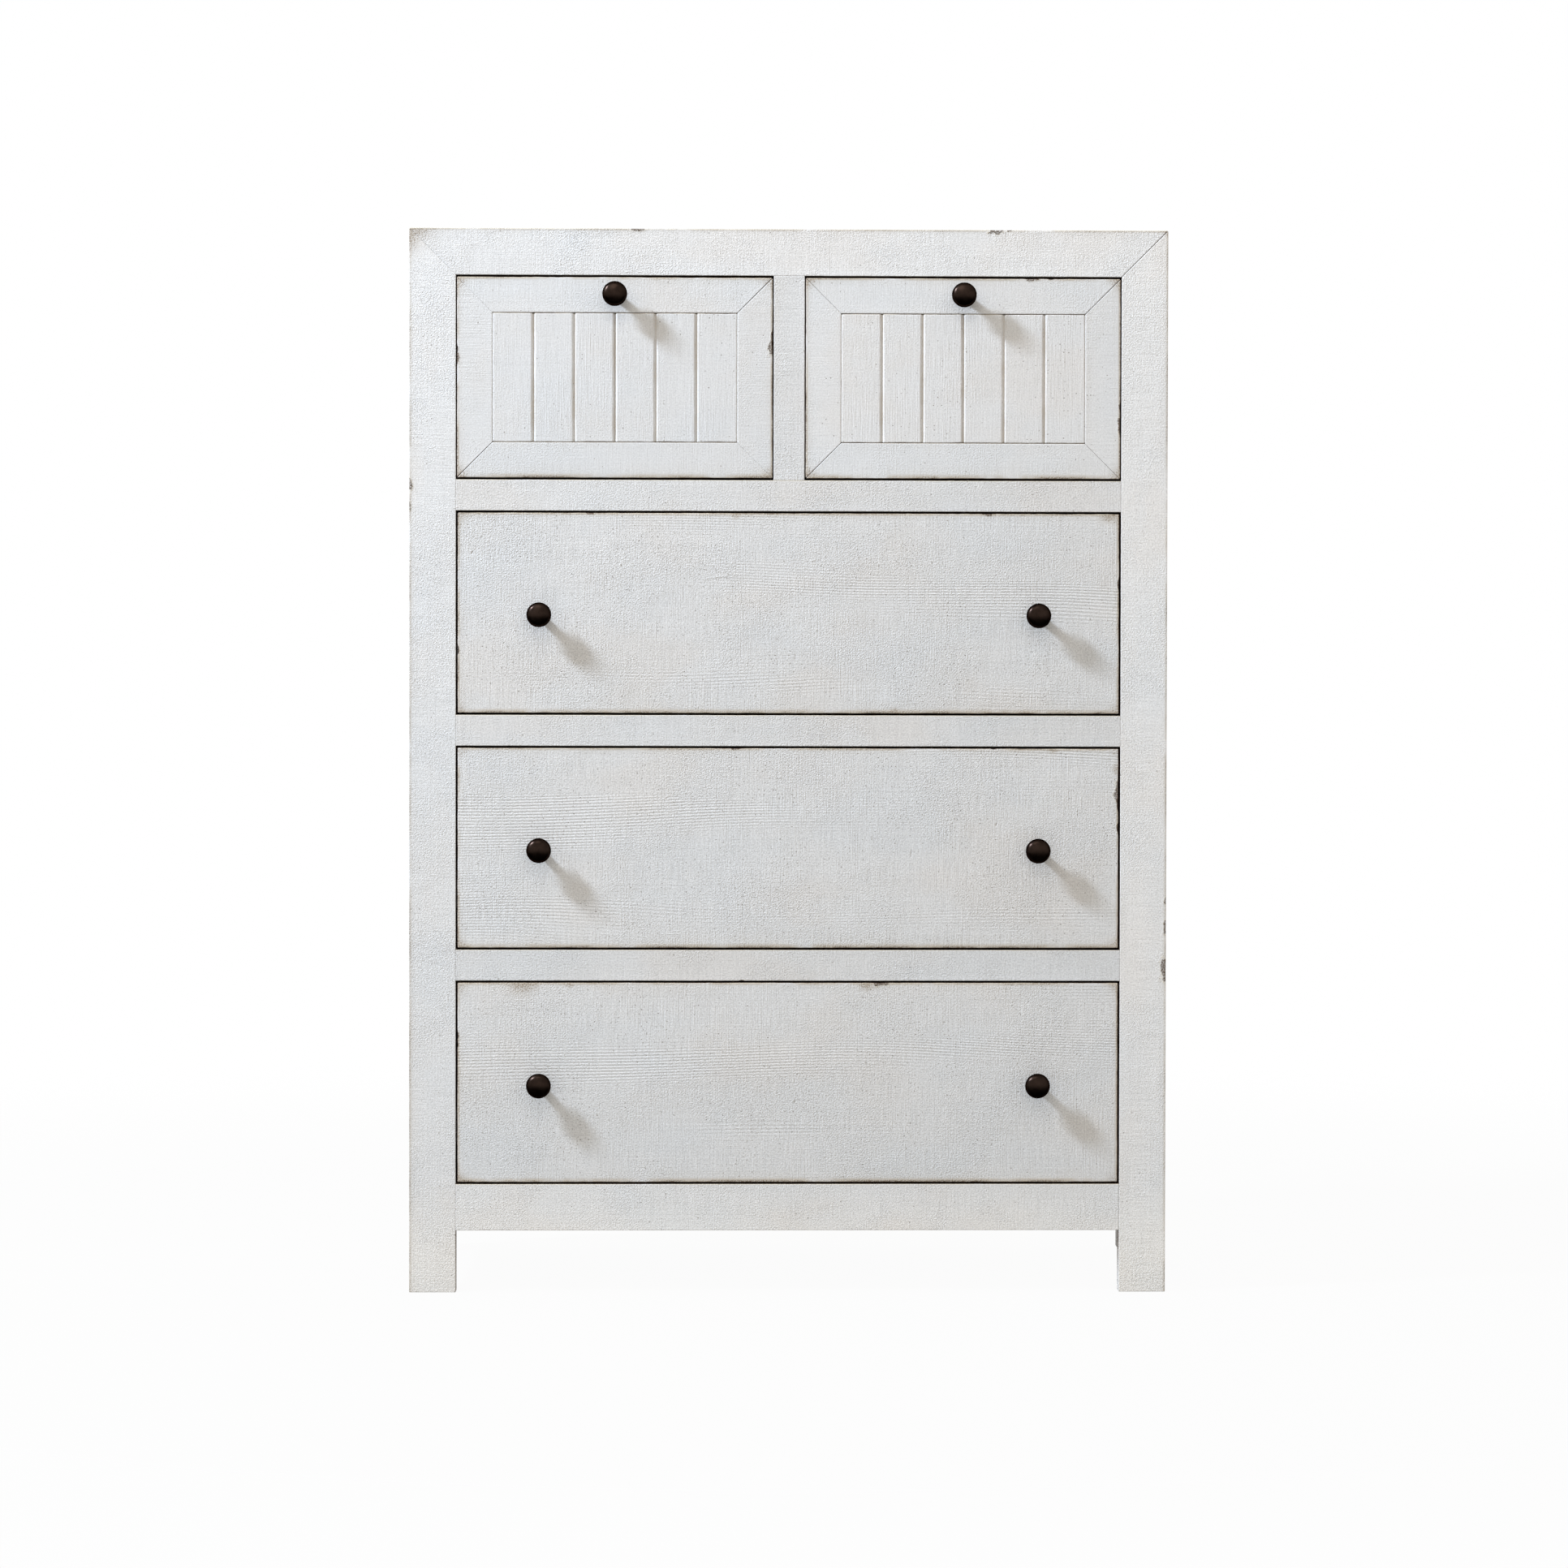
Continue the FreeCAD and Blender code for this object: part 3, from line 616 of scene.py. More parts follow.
def edge_glaze(s, color, breaks, speckle, wear):
    """Brown glaze: broken lines just inside the worn edges, haze and speckle in the corners."""
    edge, rubbed = s.attribute("edge"), s.attribute("rub")
    line = s.times(s.step(edge, 1.2, 4.2, wear, 0.0), s.step(breaks, 0.30, 0.52))
    color = s.mix(s.times(line, s.step(speckle, 0.35, 0.58, 0.3, 0.9)), color, GLAZE_LIGHT)
    haze = s.math("ADD", s.times(rubbed, 0.45), s.step(edge, 0.0, 14.0, 0.16 * wear, 0.0))
    color = s.mix(s.times(haze, s.step(breaks, 0.35, 0.6, 0.25, 0.75)), color, GLAZE_LIGHT)
    near = s.times(rubbed, s.step(edge, 3.0, 22.0, 1.0, 0.25))
    spotted = s.step(s.math("ADD", speckle, s.times(near, 0.14)), 0.57, 0.66)
    color = s.mix(s.times(spotted, s.step(near, 0.05, 0.6, 0.0, 0.75)), color, GLAZE_MID)
    rim = s.times(s.step(edge, 0.9, 2.2, wear, 0.0), s.step(breaks, 0.48, 0.6))
    color = s.mix(s.times(rim, s.step(speckle, 0.4, 0.6, 0.1, 0.8)), color, GLAZE_DARK)
    top_edge = s.attribute("top_edge")
    arris = s.times(s.step(top_edge, 0.4, 1.3, 1.0, 0.0), s.step(breaks, 0.3, 0.5, 0.2, 0.8))
    return s.mix(arris, color, CREAM)


def damage(s, color, speckle, fine):
    """Bare wood and pale flakes in the chips, and dark marks in the dents."""
    bare = s.attribute("bare")
    raw = s.step(s.math("ADD", bare, s.times(s.math("SUBTRACT", fine, 0.5), 0.8)), 0.45, 0.65)
    color = s.mix(s.times(raw, s.step(speckle, 0.4, 0.55, 0.35, 0.95)), color, GLAZE_DARK)
    flake = s.times(s.step(bare, 0.15, 0.4), s.step(bare, 0.45, 0.6, 1.0, 0.0))
    color = s.mix(s.times(flake, s.step(speckle, 0.45, 0.55, 0.0, 0.6)), color, CREAM)
    return s.mix(s.step(s.attribute("mark"), 0.0, 0.8, 0.0, 0.8), color, SPECK)


def groove_glaze_and_gap_shade(s, color, breaks, speckle):
    """Glaze beside and in the grooves, brown stain on the boards' hidden sides, and painted black shade in
    the gaps between boards.
    """
    groove, stain = s.attribute("groove"), s.attribute("stain")
    beside = s.times(s.step(groove, -1.2, 0.2, 0.0, 0.6), s.step(breaks, 0.42, 0.62))
    color = s.mix(s.times(beside, s.step(speckle, 0.4, 0.6, 0.1, 0.8)), color, GLAZE_LIGHT)
    color = s.mix(s.step(groove, 0.5, 1.0, 0.0, 0.6), color, GLAZE_LIGHT)
    color = s.mix(s.step(stain, 0.0, 0.5), color, STAIN_BROWN)
    # painted shade: near-black in the gaps between boards
    return s.mix(s.step(stain, 0.4, 0.95), color, GAP_SHADE)


def paint(name, saw, cross, grain, stipple, lumps, density, wear, relief_glaze_and_shade):
    """Brushed white paint over sawn softwood.

    saw, cross, grain, stipple and lumps are the depths in millimetres of the lines across the
    grain and along it, the raised rings, the fine pitting and the uneven coat. density is the
    share of spots that hold a pore, wear the strength of the brown glaze along worn edges,
    and relief_glaze_and_shade how much darker the hollows are, from glaze settled there and
    from painted shade of the relief.
    """
    s = Shader(name)
    where = s.attribute("grain")
    saw_lines, cross_lines, fine, pore = relief(s, where, (saw, cross, grain, stipple, lumps), density)
    color = coat(s, where, saw_lines, cross_lines, fine, pore, relief_glaze_and_shade)
    breaks = s.stretched(where, (14.0, 14.0, 14.0), 3.0, 0.6)
    speckle = s.noise(where, 520.0, 3.0, 0.7)
    color = edge_glaze(s, color, breaks, speckle, wear)
    color = damage(s, color, speckle, fine)
    color = groove_glaze_and_gap_shade(s, color, breaks, speckle)
    return s.finish(color, s.step(fine, 0.3, 0.7, 0.5, 0.64), Specular_IOR_Level=0.35)


def bronze():
    """Oil-rubbed bronze: almost black and softly glossy, with a trace of brown."""
    s = Shader("oil_rubbed_bronze")
    place = s.add("ShaderNodeTexCoord").outputs["Object"]
    cloud = s.noise(place, 90.0, 3.0, 0.6)
    color = s.mix(s.step(cloud, 0.3, 0.75), rgb(0.018, 0.012, 0.010), rgb(0.032, 0.022, 0.018))
    color = s.mix(s.times(s.attribute("rubbed"), s.step(cloud, 0.2, 0.8, 0.3, 0.9)), color,
                  rgb(0.052, 0.035, 0.029))
    s.bump(s.times(s.noise(place, 1600.0, 2.0), 0.006 * MM))
    return s.finish(color, s.step(cloud, 0.3, 0.7, 0.24, 0.32), Metallic=1.0,
                    Specular_Tint=rgb(0.16, 0.11, 0.09))


def softwood(name, axis, light, dark, ring=480.0):
    """Bare or lacquered softwood whose grain runs along an axis, with darker end grain.

    ring is how fast the rings follow each other, in radians a metre.
    """
    s = Shader(name)
    place = s.add("ShaderNodeTexCoord").outputs["Object"]
    stretch = [26.0, 26.0, 26.0]
    stretch[axis] = 2.2
    bend = s.stretched(place, stretch)
    fine = [900.0, 900.0, 900.0]
    fine[axis] = 24.0
    fibre = s.stretched(place, fine)
    split = s.add("ShaderNodeSeparateXYZ", {0: place})
    height = s.total(split.outputs[(axis + 1) % 3], s.times(split.outputs[(axis + 2) % 3], 0.7))
    phase = s.math("ADD", s.times(height, ring), s.times(bend, 34.0))
    rings = s.math("SINE", phase)
    share = s.math("MULTIPLY_ADD", s.step(rings, -0.2, 1.0), 0.6, s.times(fibre, 0.35))
    color = s.mix(share, light, dark)
    normal = s.add("ShaderNodeSeparateXYZ", {0: s.add("ShaderNodeNewGeometry").outputs["True Normal"]})
    end = s.step(s.math("ABSOLUTE", normal.outputs[axis]), 0.6, 0.9)
    end_color = s.mix(s.noise(place, 420.0, 3.0), dark, rgb(dark[0] * 0.6, dark[1] * 0.55, dark[2] * 0.5))
    color = s.mix(end, color, end_color)
    s.bump(s.total(s.times(fibre, 0.06 * MM), s.times(rings, 0.03 * MM)))
    return s.finish(color, s.step(fibre, 0.3, 0.7, 0.45, 0.6))


def steel(name, tint):
    """Bright zinc plating with fine drawing lines along Y."""
    s = Shader(name)
    place = s.add("ShaderNodeTexCoord").outputs["Object"]
    lines = s.stretched(place, (1800.0, 30.0, 1800.0))
    cloud = s.noise(place, 45.0, 3.0)
    color = s.mix(s.step(cloud, 0.3, 0.7), tint, rgb(tint[0] * 0.82, tint[1] * 0.84, tint[2] * 0.88))
    s.bump(s.times(lines, 0.012 * MM))
    return s.finish(color, s.step(lines, 0.3, 0.7, 0.26, 0.42), Metallic=1.0)


FRONT_PAINT = paint("brushed_paint_fronts", saw=0.52, cross=0.17, grain=0.15, stipple=0.84,
                    lumps=0.10, density=1.0, wear=1.0, relief_glaze_and_shade=1.3)
MEMBER_PAINT = paint("brushed_paint_members", saw=0.30, cross=0.10, grain=0.0, stipple=0.40,
                     lumps=0.16, density=0.24, wear=1.0, relief_glaze_and_shade=0.75)
PANEL_PAINT = paint("brushed_paint_panels", saw=0.42, cross=0.05, grain=0.0, stipple=0.34,
                    lumps=0.0, density=0.36, wear=1.0, relief_glaze_and_shade=0.8)
FRAME_PAINT = paint("brushed_paint_frame", saw=0.25, cross=0.16, grain=0.0, stipple=0.70,
                    lumps=0.36, density=0.16, wear=0.6, relief_glaze_and_shade=1.25)
SIDE_PAINT = paint("brushed_paint_sides", saw=0.30, cross=0.06, grain=0.0, stipple=0.60,
                   lumps=0.16, density=0.16, wear=0.6, relief_glaze_and_shade=1.0)

# --- Painted boards ---

# How light the paint is on each board of the face frame and on each drawer's front: partly each board's own
# shade, partly painted light and shade standing in for the lamps' fall-off across the front.
BOARD_TONES_AND_LIGHT = {
    "left_stile": 0.948, "right_stile": 1.034, "centre_stile": 0.888, "top_rail": 0.963,
    "upper_rail": 0.906, "middle_rail": 0.902, "lower_rail": 0.899, "bottom_rail": 0.968,
    "left_drawer": 0.897, "right_drawer": 0.928,
    "upper_drawer": 0.902, "middle_drawer": 0.908, "lower_drawer": 0.914,
}
LEANS = {"top_rail": 0.10}


def painted(piece, body, *nodes):
    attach(piece, body)
    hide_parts(*nodes)
    return piece


def build_face_frame():
    """Mitred stiles and top rail, and the rails and centre stile between the drawers."""
    chips = {
        "left_stile": [(0.76, 0.0, 14, 1.6), (0.74, 0.0, 8, 1.4)],
        "right_stile": [(0.345, 1.0, 14, 2.4), (0.305, 1.0, 26, 2.0),
                        (0.37, 1.0, 10, 1.6)],
        "top_rail": [(0.30, 1.0, 14, 1.6), (0.775, 1.0, 18, 1.8),
                     (0.79, 1.0, 7, 1.6)],
        "lower_rail": [(0.43, 0.0, 5, 0.9)],
    }
    rubs = {
        "left_stile": [(1.0, 0.0, 52)],
        "top_rail": [(0.0, 1.0, 52), (1.0, 1.0, 12)],
        "right_stile": [(1.0, 1.0, 12)],
    }
    both, ends = ("v0", "v1"), ("u0", "u1")
    frame_boards = [
        ("left_stile", Z, (0, -1), (0, FRAME_CLOSED), ("v0",), ("v1",), ()),
        ("right_stile", Z, (0, 1), (0, FRAME_OPENED), ("v1",), ("v0", "u1"), ()),
        ("top_rail", X, (1, 1), (FRAME_CLOSED, FRAME_OPENED), ("v1",), ("v0", "u1"), ()),
        ("upper_rail", X, (0, 0), (0, 0), (), both, ends),
        ("middle_rail", X, (0, 0), (0, 0), (), both, ends),
        ("lower_rail", X, (0, 0), (0, 0), (), both, ends),
        ("bottom_rail", X, (0, 0), (0, 0), (), ("v1",), ends),
        ("centre_stile", Z, (0, 0), (0, 0), (), both, ends),
    ]
    for seed, (node, along, mitres, mitre_rounds, worn, stained_and_shaded, joints) in enumerate(frame_boards, 1):
        low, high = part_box(node)
        piece = board("painted_" + node, low, high, along, FRONT, FRAME_PAINT, mitres=mitres, worn=worn,
                      mitre_rounds=mitre_rounds, stained_and_shaded=stained_and_shaded, joints=joints, chips=chips.get(node, ()),
                      rubs=rubs.get(node, ()), outer_side_shade=1.0, edge_round=FRAME_EDGE, tone=BOARD_TONES_AND_LIGHT[node],
                      lean=LEANS.get(node, 0.0), seed=seed)
        painted(piece, "case", node)


PLANKS = 6  # of each grooved panel
REBATE_PLAY = 0.1 * MM  # round the back panel, in the rear posts


def build_sides_and_top():
    """Posts, rails and plank panels of the two sides, and the top."""
    low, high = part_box("top_panel")
    top = board("painted_top_panel", low, high, X, TOP, SIDE_PAINT, step=SIDE_STEP,
                worn=("v1", "u0", "u1"), joints=("v0",), seed=20)
    painted(top, "case", "top_panel")
    rails = solid_boxes("side_rails")
    back_low, back_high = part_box("back_panel")
    back_edge = back_high[X] + REBATE_PLAY
    back_depth = back_high[Y] - back_low[Y] + REBATE_PLAY
    for side, face, edge_rails, seed in (("left", LEFT, rails[:2], 30), ("right", RIGHT, rails[2:], 40)):
        front_post, rear_post = solid_boxes(side + "_side_posts")
        low, high = rear_post
        rebate = (back_depth, high[X] - back_edge if side == "right" else -back_edge - low[X])
        posts = [("front", front_post, (), ("u1", "v0"), ()), ("rear", rear_post, ("v1",), ("u1",), rebate)]
        for name, (low, high), worn, joints, step_cut in posts:
            seed += 1
            piece = board("painted_%s_%s_post" % (side, name), low, high, Z, face, SIDE_PAINT,
                          step=SIDE_STEP, worn=worn, joints=joints, rebate=step_cut, seed=seed)
            painted(piece, "case", side + "_side_posts")
        for name, (low, high) in zip(("bottom", "top"), edge_rails):
            seed += 1
            piece = board("painted_%s_%s_side_rail" % (side, name), low, high, Y, face, SIDE_PAINT,
                          step=SIDE_STEP, joints=("u0", "u1"), seed=seed)
            painted(piece, "case", "side_rails")
        low, high = (np.array(corner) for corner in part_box(side + "_side_panel"))
        low[Y], high[Y] = front_post[1][Y], rear_post[0][Y]
        low[Z], high[Z] = edge_rails[0][1][Z], edge_rails[1][0][Z]
        piece = board("painted_%s_side_panel" % side, low, high, Z, face, SIDE_PAINT, step=SIDE_STEP,
                      grooves=PLANKS - 1, seed=seed + 1)
        painted(piece, "case", side + "_side_panel")


def build_small_fronts():
    """Mitred rails and stiles round a grooved panel."""
    chips = {
        "left_drawer_left": [(0.645, 0.0, 8, 2.0), (0.6, 0.0, 12, 1.1)],
        "left_drawer_right": [(0.66, 1.0, 20, 1.5), (0.72, 1.0, 9, 1.2)],
        "right_drawer_right": [(0.27, 1.0, 16, 1.9), (0.36, 1.0, 8, 1.3)],
        "right_drawer_top": [(0.72, 1.0, 12, 0.8), (0.78, 1.0, 5, 0.9)],
    }
    # mitre ends that also get the brown stain and painted gap shade
    mitre_stains_and_shade = {
        "left_drawer": {"top": ("u1",), "right": ("u1",), "bottom": ("u0",), "left": ("u0",)},
        "right_drawer": {name: ("u0", "u1") for name in ("bottom", "top", "left", "right")},
    }
    for number, drawer in enumerate(("left_drawer", "right_drawer")):
        seed = 50 + 10 * number
        rails = sorted(solid_boxes(drawer + "_front_rails"), key=lambda b: b[0][Z])
        stiles = solid_boxes(drawer + "_front_stiles")
        fine = TIGHT if drawer == "left_drawer" else SNUG
        members = [("bottom", X, rails[0], -1), ("top", X, rails[1], 1),
                   ("left", Z, stiles[0], -1), ("right", Z, stiles[1], 1)]
        for name, along, (low, high), slope in members:
            seed += 1
            node = drawer + ("_front_rails" if along == X else "_front_stiles")
            outer, inner = ("v0", "v1") if slope < 0 else ("v1", "v0")
            mitre_rounds = (OPEN, fine) if slope < 0 else (fine, OPEN)
            stained_and_shaded = (outer, inner) if along == X else (outer,)
            piece = board("painted_%s_%s_member" % (drawer, name), low, high, along, FRONT, MEMBER_PAINT,
                          mitres=(slope, slope), mitre_rounds=mitre_rounds, worn=(outer,),
                          stained_and_shaded=stained_and_shaded + mitre_stains_and_shade[drawer][name], joints=(inner,),
                          joint_round=PANEL_ROUND, chips=chips.get(drawer + "_" + name, ()),
                          corner_wear=0.9, tone=BOARD_TONES_AND_LIGHT[drawer], seed=seed)
            painted(piece, drawer, node)
        member = rails[0][1][Z] - rails[0][0][Z]
        low = np.array([rails[0][0][X] + member, rails[0][0][Y], rails[0][1][Z]])
        high = np.array([rails[0][1][X] - member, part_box(drawer + "_front_panel")[1][Y], rails[1][0][Z]])
        piece = board("painted_%s_panel" % drawer, low, high, X, FRONT, PANEL_PAINT, grooves=PLANKS - 1,
                      stained_and_shaded=("v0", "v1"), edge_round=PANEL_ROUND, tone=BOARD_TONES_AND_LIGHT[drawer], seed=seed + 1)
        painted(piece, drawer, drawer + "_front_panel")


def build_wide_fronts():
    """The three plain fronts, worn along every edge."""
    chips = {
        "upper_drawer": [(1.0, 0.65, 12, 1.3), (0.0, 0.31, 8, 2.2),
                         (0.2, 1.0, 9, 0.8), (0.8, 1.0, 11, 0.7)],
        "middle_drawer": [(0.42, 1.0, 10, 0.9), (0.81, 1.0, 6, 1.2),
                          (1.0, 0.79, 20, 1.1), (1.0, 0.71, 12, 1.7),
                          (1.0, 0.60, 9, 0.9)],
        "lower_drawer": [(0.0, 0.69, 5, 1.4), (0.0, 0.73, 8, 1.0),
                         (0.64, 1.0, 16, 0.8)],
    }
    rubs = {
        "upper_drawer": [(0.985, 1.0, 22), (0.42, 1.0, 12), (0.66, 0.0, 12)],
        "middle_drawer": [(0.9, 1.0, 12), (1.0, 0.9, 14)],
        "lower_drawer": [(0.1, 1.0, 34), (0.17, 1.0, 12), (0.62, 1.0, 20)],
    }
    dents = {
        "upper_drawer": [(0.022, 0.80, 4, 1.0, 0.9, 0.8),
                         (0.51, 0.28, 9, 1.6, 1.5, 0.4),
                         (0.39, 0.68, 28, 1.6, 0.12, -0.35)],
        "middle_drawer": [(0.815, 0.62, 4, 1.2, 1.2, 0.7),
                          (0.686, 0.475, 7, 1.4, 1.5, 0.5)],
        "lower_drawer": [(0.510, 0.402, 4, 1.0, 1.3, 0.8)],
    }
    edges = ("u0", "u1", "v0", "v1")
    for number, drawer in enumerate(("upper_drawer", "middle_drawer", "lower_drawer")):
        low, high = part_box(drawer + "_front")
        piece = board("painted_%s_front" % drawer, low, high, X, FRONT, FRONT_PAINT, worn=edges,
                      stained_and_shaded=edges, corner_wear=0.7, chips=chips[drawer], rubs=rubs[drawer],
                      dents=dents[drawer], tone=BOARD_TONES_AND_LIGHT[drawer], seed=70 + number)
        painted(piece, drawer, drawer + "_front")


# --- Knobs ---

KNOB_TURNS = 72  # points round a knob
CROWN_TILT = 20  # slope of the dome's rim in degrees


def arc(centre, radius, start, end, count):
    """Points of a circle's arc between two angles in degrees, as (radius, height) pairs."""
    angles = np.radians(np.linspace(start, end, count))
    return [(centre[0] + radius * math.cos(a), centre[1] + radius * math.sin(a)) for a in angles]


def knob_profile(head_r, length):
    """Outline of a mushroom knob from the drawer's face to the top of its dome."""
    foot_r, waist_r = 0.56 * head_r, 0.33 * head_r
    shoulder_r = 0.5 * head_r
    lip_r = 1.6 * MM
    sine, cosine = math.sin(math.radians(CROWN_TILT)), math.cos(math.radians(CROWN_TILT))
    crown_edge = head_r - shoulder_r + shoulder_r * sine
    crown_r = crown_edge / sine
    shoulder_rise = shoulder_r * cosine
    widest = length - shoulder_rise - crown_r * (1 - cosine)
    cove_r = foot_r - waist_r
    flare_r = head_r - lip_r - waist_r
    outline = [(foot_r, 0.0), (foot_r, 0.03 * length), (foot_r - 0.2 * MM, 0.055 * length)]
    outline += arc((foot_r, 0.07 * length + cove_r), cove_r, 262, 182, 9)
    outline += arc((waist_r + flare_r, widest - lip_r - flare_r), flare_r, 180, 100, 12)
    outline += arc((head_r - lip_r, widest), lip_r, -75, -5, 7)
    outline += arc((head_r - shoulder_r, widest), shoulder_r, 0, 90 - CROWN_TILT, 12)
    outline += arc((0.0, length - crown_r), crown_r, 90 - CROWN_TILT, 90, 9)[1:-1]
    return outline + [(0.0, length)]


def build_knob(name, body, node, low, high, material):
    """A turned knob that fills one solid of a knob node's box, closed at its foot."""
    centre_x, centre_z = (low[X] + high[X]) / 2, (low[Z] + high[Z]) / 2
    head_r = (high[X] - low[X]) / 2
    length = high[Y] - low[Y]
    profile = knob_profile(head_r, length)
    rings = len(profile) - 1
    angles = np.linspace(0, 2 * math.pi, KNOB_TURNS, endpoint=False)
    points = [(centre_x + r * math.cos(a), high[Y] - h, centre_z + r * math.sin(a))
              for r, h in profile[:-1] for a in angles]
    points.append((centre_x, high[Y] - length, centre_z))
    faces = []
    for i in range(rings - 1):
        for j in range(KNOB_TURNS):
            k = (j + 1) % KNOB_TURNS
            this, above = i * KNOB_TURNS, (i + 1) * KNOB_TURNS
            faces.append((this + j, this + k, above + k, above + j))
    last = (rings - 1) * KNOB_TURNS
    for j in range(KNOB_TURNS):
        faces.append((last + j, last + (j + 1) % KNOB_TURNS, len(points) - 1))
    faces.append(tuple(reversed(range(KNOB_TURNS))))
    mesh = bpy.data.meshes.new(name)
    mesh.from_pydata(points, [], faces)
    mesh.validate()
    height = np.array([h for r, h in profile[:-1] for a in angles] + [length])
    set_attribute(mesh, "rubbed", smooth(height / length, 0.86, 1.0))
    mesh.shade_smooth()
    mesh.materials.append(material)
    piece = add_object(name, mesh)
    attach(piece, body)
    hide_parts(node)


def build_knobs():
    material = bronze()
    for drawer in ("left_drawer", "right_drawer", "upper_drawer", "middle_drawer", "lower_drawer"):
        node = drawer + "_knobs"
        for number, (low, high) in enumerate(solid_boxes(node), 1):
            build_knob("knob_%s_%d" % (drawer, number), drawer, node, low, high, material)


# --- CAD nodes that keep their shape ---


PLY_RING = 180.0


def finish_cad_nodes():
    """Materials for the drawer boxes, slides, back and inner boards."""
    pine_light, pine_dark = rgb(0.76, 0.60, 0.40), rgb(0.62, 0.44, 0.26)
    ply_light, ply_dark = rgb(0.71, 0.57, 0.40), rgb(0.61, 0.46, 0.30)
    finishes = {
        "box_sides": softwood("drawer_pine_y", Y, pine_light, pine_dark),
        "box_ends": softwood("drawer_pine_x", X, pine_light, pine_dark),
        "box_bottom": softwood("plywood_x", X, ply_light, ply_dark, PLY_RING),
        "back_panel": softwood("plywood_z", Z, ply_light, ply_dark, PLY_RING),
        "slide_channels": steel("zinc_plate", rgb(0.60, 0.61, 0.63)),
        "screws": steel("zinc_screws", rgb(0.55, 0.53, 0.48)),
    }
    finishes["floor_panel"] = finishes["box_bottom"]
    finishes["back_rails"] = finishes["box_ends"]
    finishes["slide_cleats"] = finishes["box_sides"]
    finishes["centre_partition"] = finishes["box_sides"]
    for node, piece in frame["nodes"].items():
        if piece.hide_render:
            continue
        key = next(k for k in finishes if node.endswith(k))
        piece.data.materials.clear()
        piece.data.materials.append(finishes[key])


# --- Stage, light and camera ---

# Places are metres from the middle, from the chest's front and from the floor.
KEY_PLACE, KEY_SIZE, KEY_POWER = (-3.757, -1.38, 4.194), 0.75, 313.0
KEY_COLOR = (0.877, 1.0, 1.165)
OVERHEAD_PLACE, OVERHEAD_SIZE, OVERHEAD_POWER = (-0.6, -2.2, 3.4), 1.8, 15.0
FILL_COLOR, FILL_POWER = (0.893, 0.835, 0.756, 1.0), 0.813
BACK_COLOR = (1.22, 1.25, 1.30, 1.0)  # from behind the chest, for its sides and back
BELOW_COLOR = (0.03, 0.027, 0.024, 1.0)  # from under the horizon
WHITE = (1.0, 1.0, 1.0, 1.0)
FLOOR_GLOW = 0.96  # how much of the floor's own tone white takes over
FLOOR_RADIUS = 3.6
FLOOR_FADE = (1.3, 3.4)
CAMERA_PLACE, CAMERA_TURN = (-0.1088, -5.2, 0.7457), (1.1327, 0.9736, -0.1023)  # in degrees
CAMERA_LENS, CAMERA_FILM = 92.51, 36.0  # millimetres
KEY_SPARES = ("painted_top_panel", "painted_left_front_post", "painted_left_rear_post",
              "painted_left_bottom_side", "painted_left_top_side", "painted_left_side_panel")


def build_stage():
    """A pale floor that fades out round the chest, so no far edge shows."""
    s = Shader("pale_floor")
    place = s.add("ShaderNodeTexCoord").outputs["Object"]
    far = s.add("ShaderNodeVectorMath", {0: place}, operation="LENGTH").outputs["Value"]
    cloud = s.noise(place, 2.0, 3.0)
    color = s.mix(cloud, rgb(0.33, 0.32, 0.30), rgb(0.36, 0.35, 0.33))
    s.finish(color, 0.8, Specular_IOR_Level=0.2)
    glow = s.add("ShaderNodeEmission", {"Color": WHITE, "Strength": 1.0}).outputs[0]
    clear = s.add("ShaderNodeBsdfTransparent").outputs[0]
    seen = s.add("ShaderNodeLightPath").outputs["Is Camera Ray"]
    pale = s.either(s.times(seen, FLOOR_GLOW), s.bsdf.outputs[0], glow)
    faded = s.either(s.step(far, *FLOOR_FADE), pale, clear)
    s.put(s.tree.nodes["Material Output"].inputs["Surface"], faded)
    bpy.ops.mesh.primitive_circle_add(vertices=96, radius=FLOOR_RADIUS, fill_type="NGON", location=(0, 0, 0))
    floor = bpy.context.object
    floor.name = "floor"
    floor.data.materials.append(s.block)
    floor.visible_glossy = False


def aim(thing, target):
    direction = Vector(target) - thing.location
    thing.rotation_euler = direction.to_track_quat("-Z", "Y").to_euler()


def area_light(name, location, target, size, power, color, spared=()):
    """A round lamp that is aimed at a point and passes over the spared pieces."""
    light = bpy.data.lights.new(name, "AREA")
    light.shape = "DISK"
    light.size = size
    light.energy = power
    light.color = color
    lamp = add_object(name, light)
    lamp.location = location
    aim(lamp, target)
    if spared:
        group = bpy.data.collections.new(name + "_spared")
        for piece in spared:
            group.objects.link(piece)
        lamp.light_linking.receiver_collection = group
        for member in group.collection_objects:
            member.light_linking.link_state = "EXCLUDE"


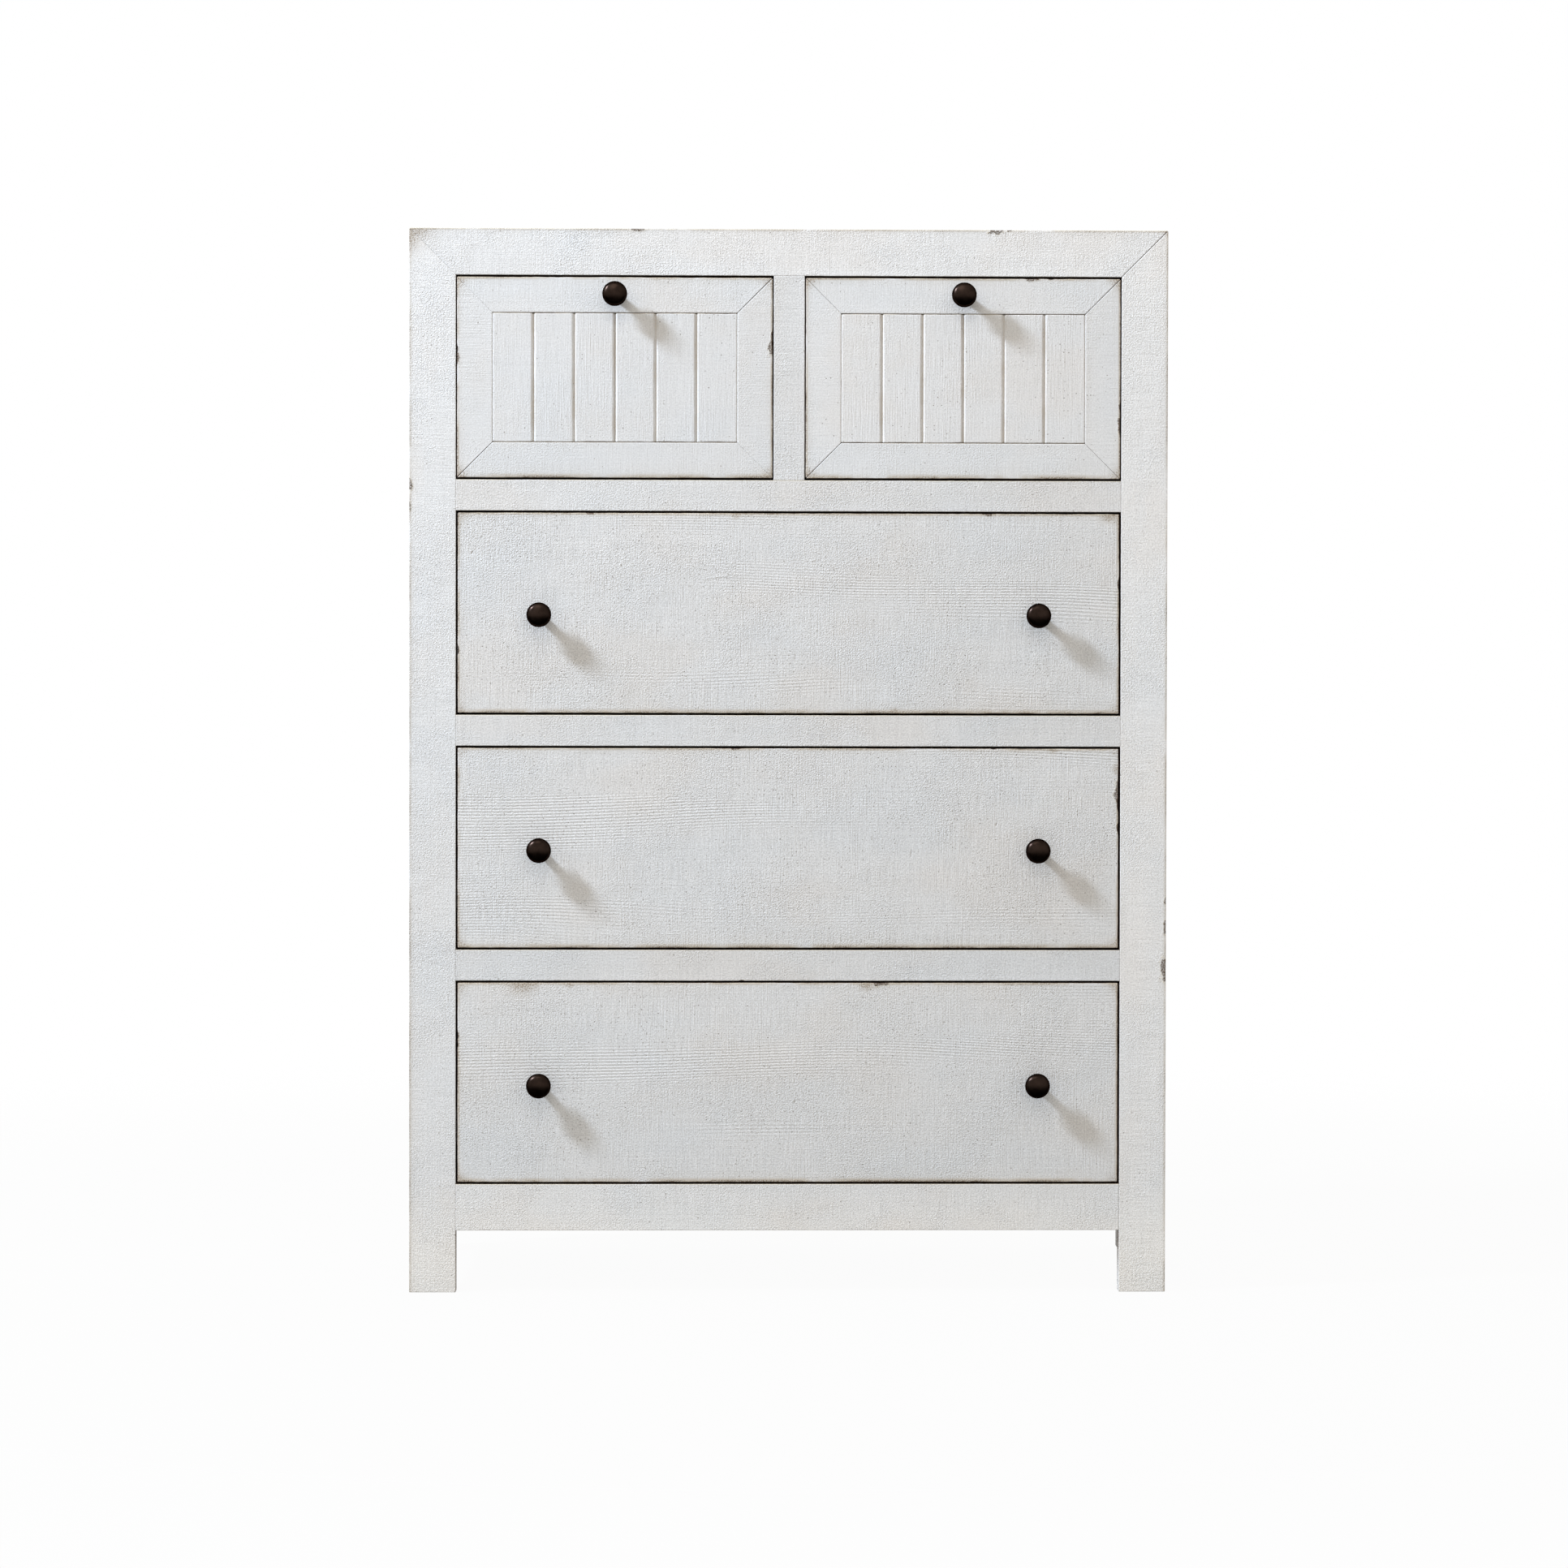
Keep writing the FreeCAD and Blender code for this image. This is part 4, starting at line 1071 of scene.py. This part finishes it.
def from_front(place):
    """A place counted from the chest's front face, in the frame's metres."""
    return (place[0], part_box("left_stile")[0].y + place[1], place[2])


def build_lamps():
    """A cool lamp that rakes the front from the upper left, and a weak one overhead."""
    middle = (cad_low.z + cad_high.z) / 2
    spared = [piece for piece in bpy.data.objects if piece.name.startswith(KEY_SPARES)]
    area_light("raking_key", from_front(KEY_PLACE), from_front((0, 0, middle)), KEY_SIZE, KEY_POWER,
               KEY_COLOR, spared)
    area_light("overhead", from_front(OVERHEAD_PLACE), from_front((0, 0, 1.0)), OVERHEAD_SIZE,
               OVERHEAD_POWER, FILL_COLOR[:3])


def build_room():
    """Even warm light from the front half of the room, a white backdrop to the eye."""
    s = Shader("studio", bpy.data.worlds)
    bpy.context.scene.world = s.block
    around = s.add("ShaderNodeTexCoord").outputs["Generated"]
    direction = s.add("ShaderNodeSeparateXYZ", {0: around}).outputs
    room = s.mix(s.step(direction["Y"], 0.0, 0.5), FILL_COLOR, BACK_COLOR)
    room = s.mix(s.step(direction["Z"], -0.3, 0.08), BELOW_COLOR, room)
    fill = s.tree.nodes["Background"]
    s.put(fill.inputs["Color"], room)
    s.put(fill.inputs["Strength"], FILL_POWER)
    backdrop = s.add("ShaderNodeBackground", {"Color": WHITE}).outputs[0]
    seen = s.add("ShaderNodeLightPath").outputs["Is Camera Ray"]
    s.put(s.tree.nodes["World Output"].inputs["Surface"], s.either(seen, fill.outputs[0], backdrop))


def build_camera():
    """Straight on, a little left of the middle and above the chest's half height."""
    camera = bpy.data.cameras.new("camera")
    camera.lens = CAMERA_LENS
    camera.sensor_width = CAMERA_FILM
    thing = add_object("camera", camera)
    thing.location = from_front(CAMERA_PLACE)
    pan, tilt, roll = CAMERA_TURN
    thing.rotation_euler = (math.radians(90 - tilt), math.radians(roll), math.radians(-pan))
    bpy.context.scene.camera = thing


build_face_frame()
build_sides_and_top()
build_small_fronts()
build_wide_fronts()
build_knobs()
finish_cad_nodes()
build_stage()
build_lamps()
build_room()
build_camera()
bpy.context.scene.view_settings.view_transform = "Standard"
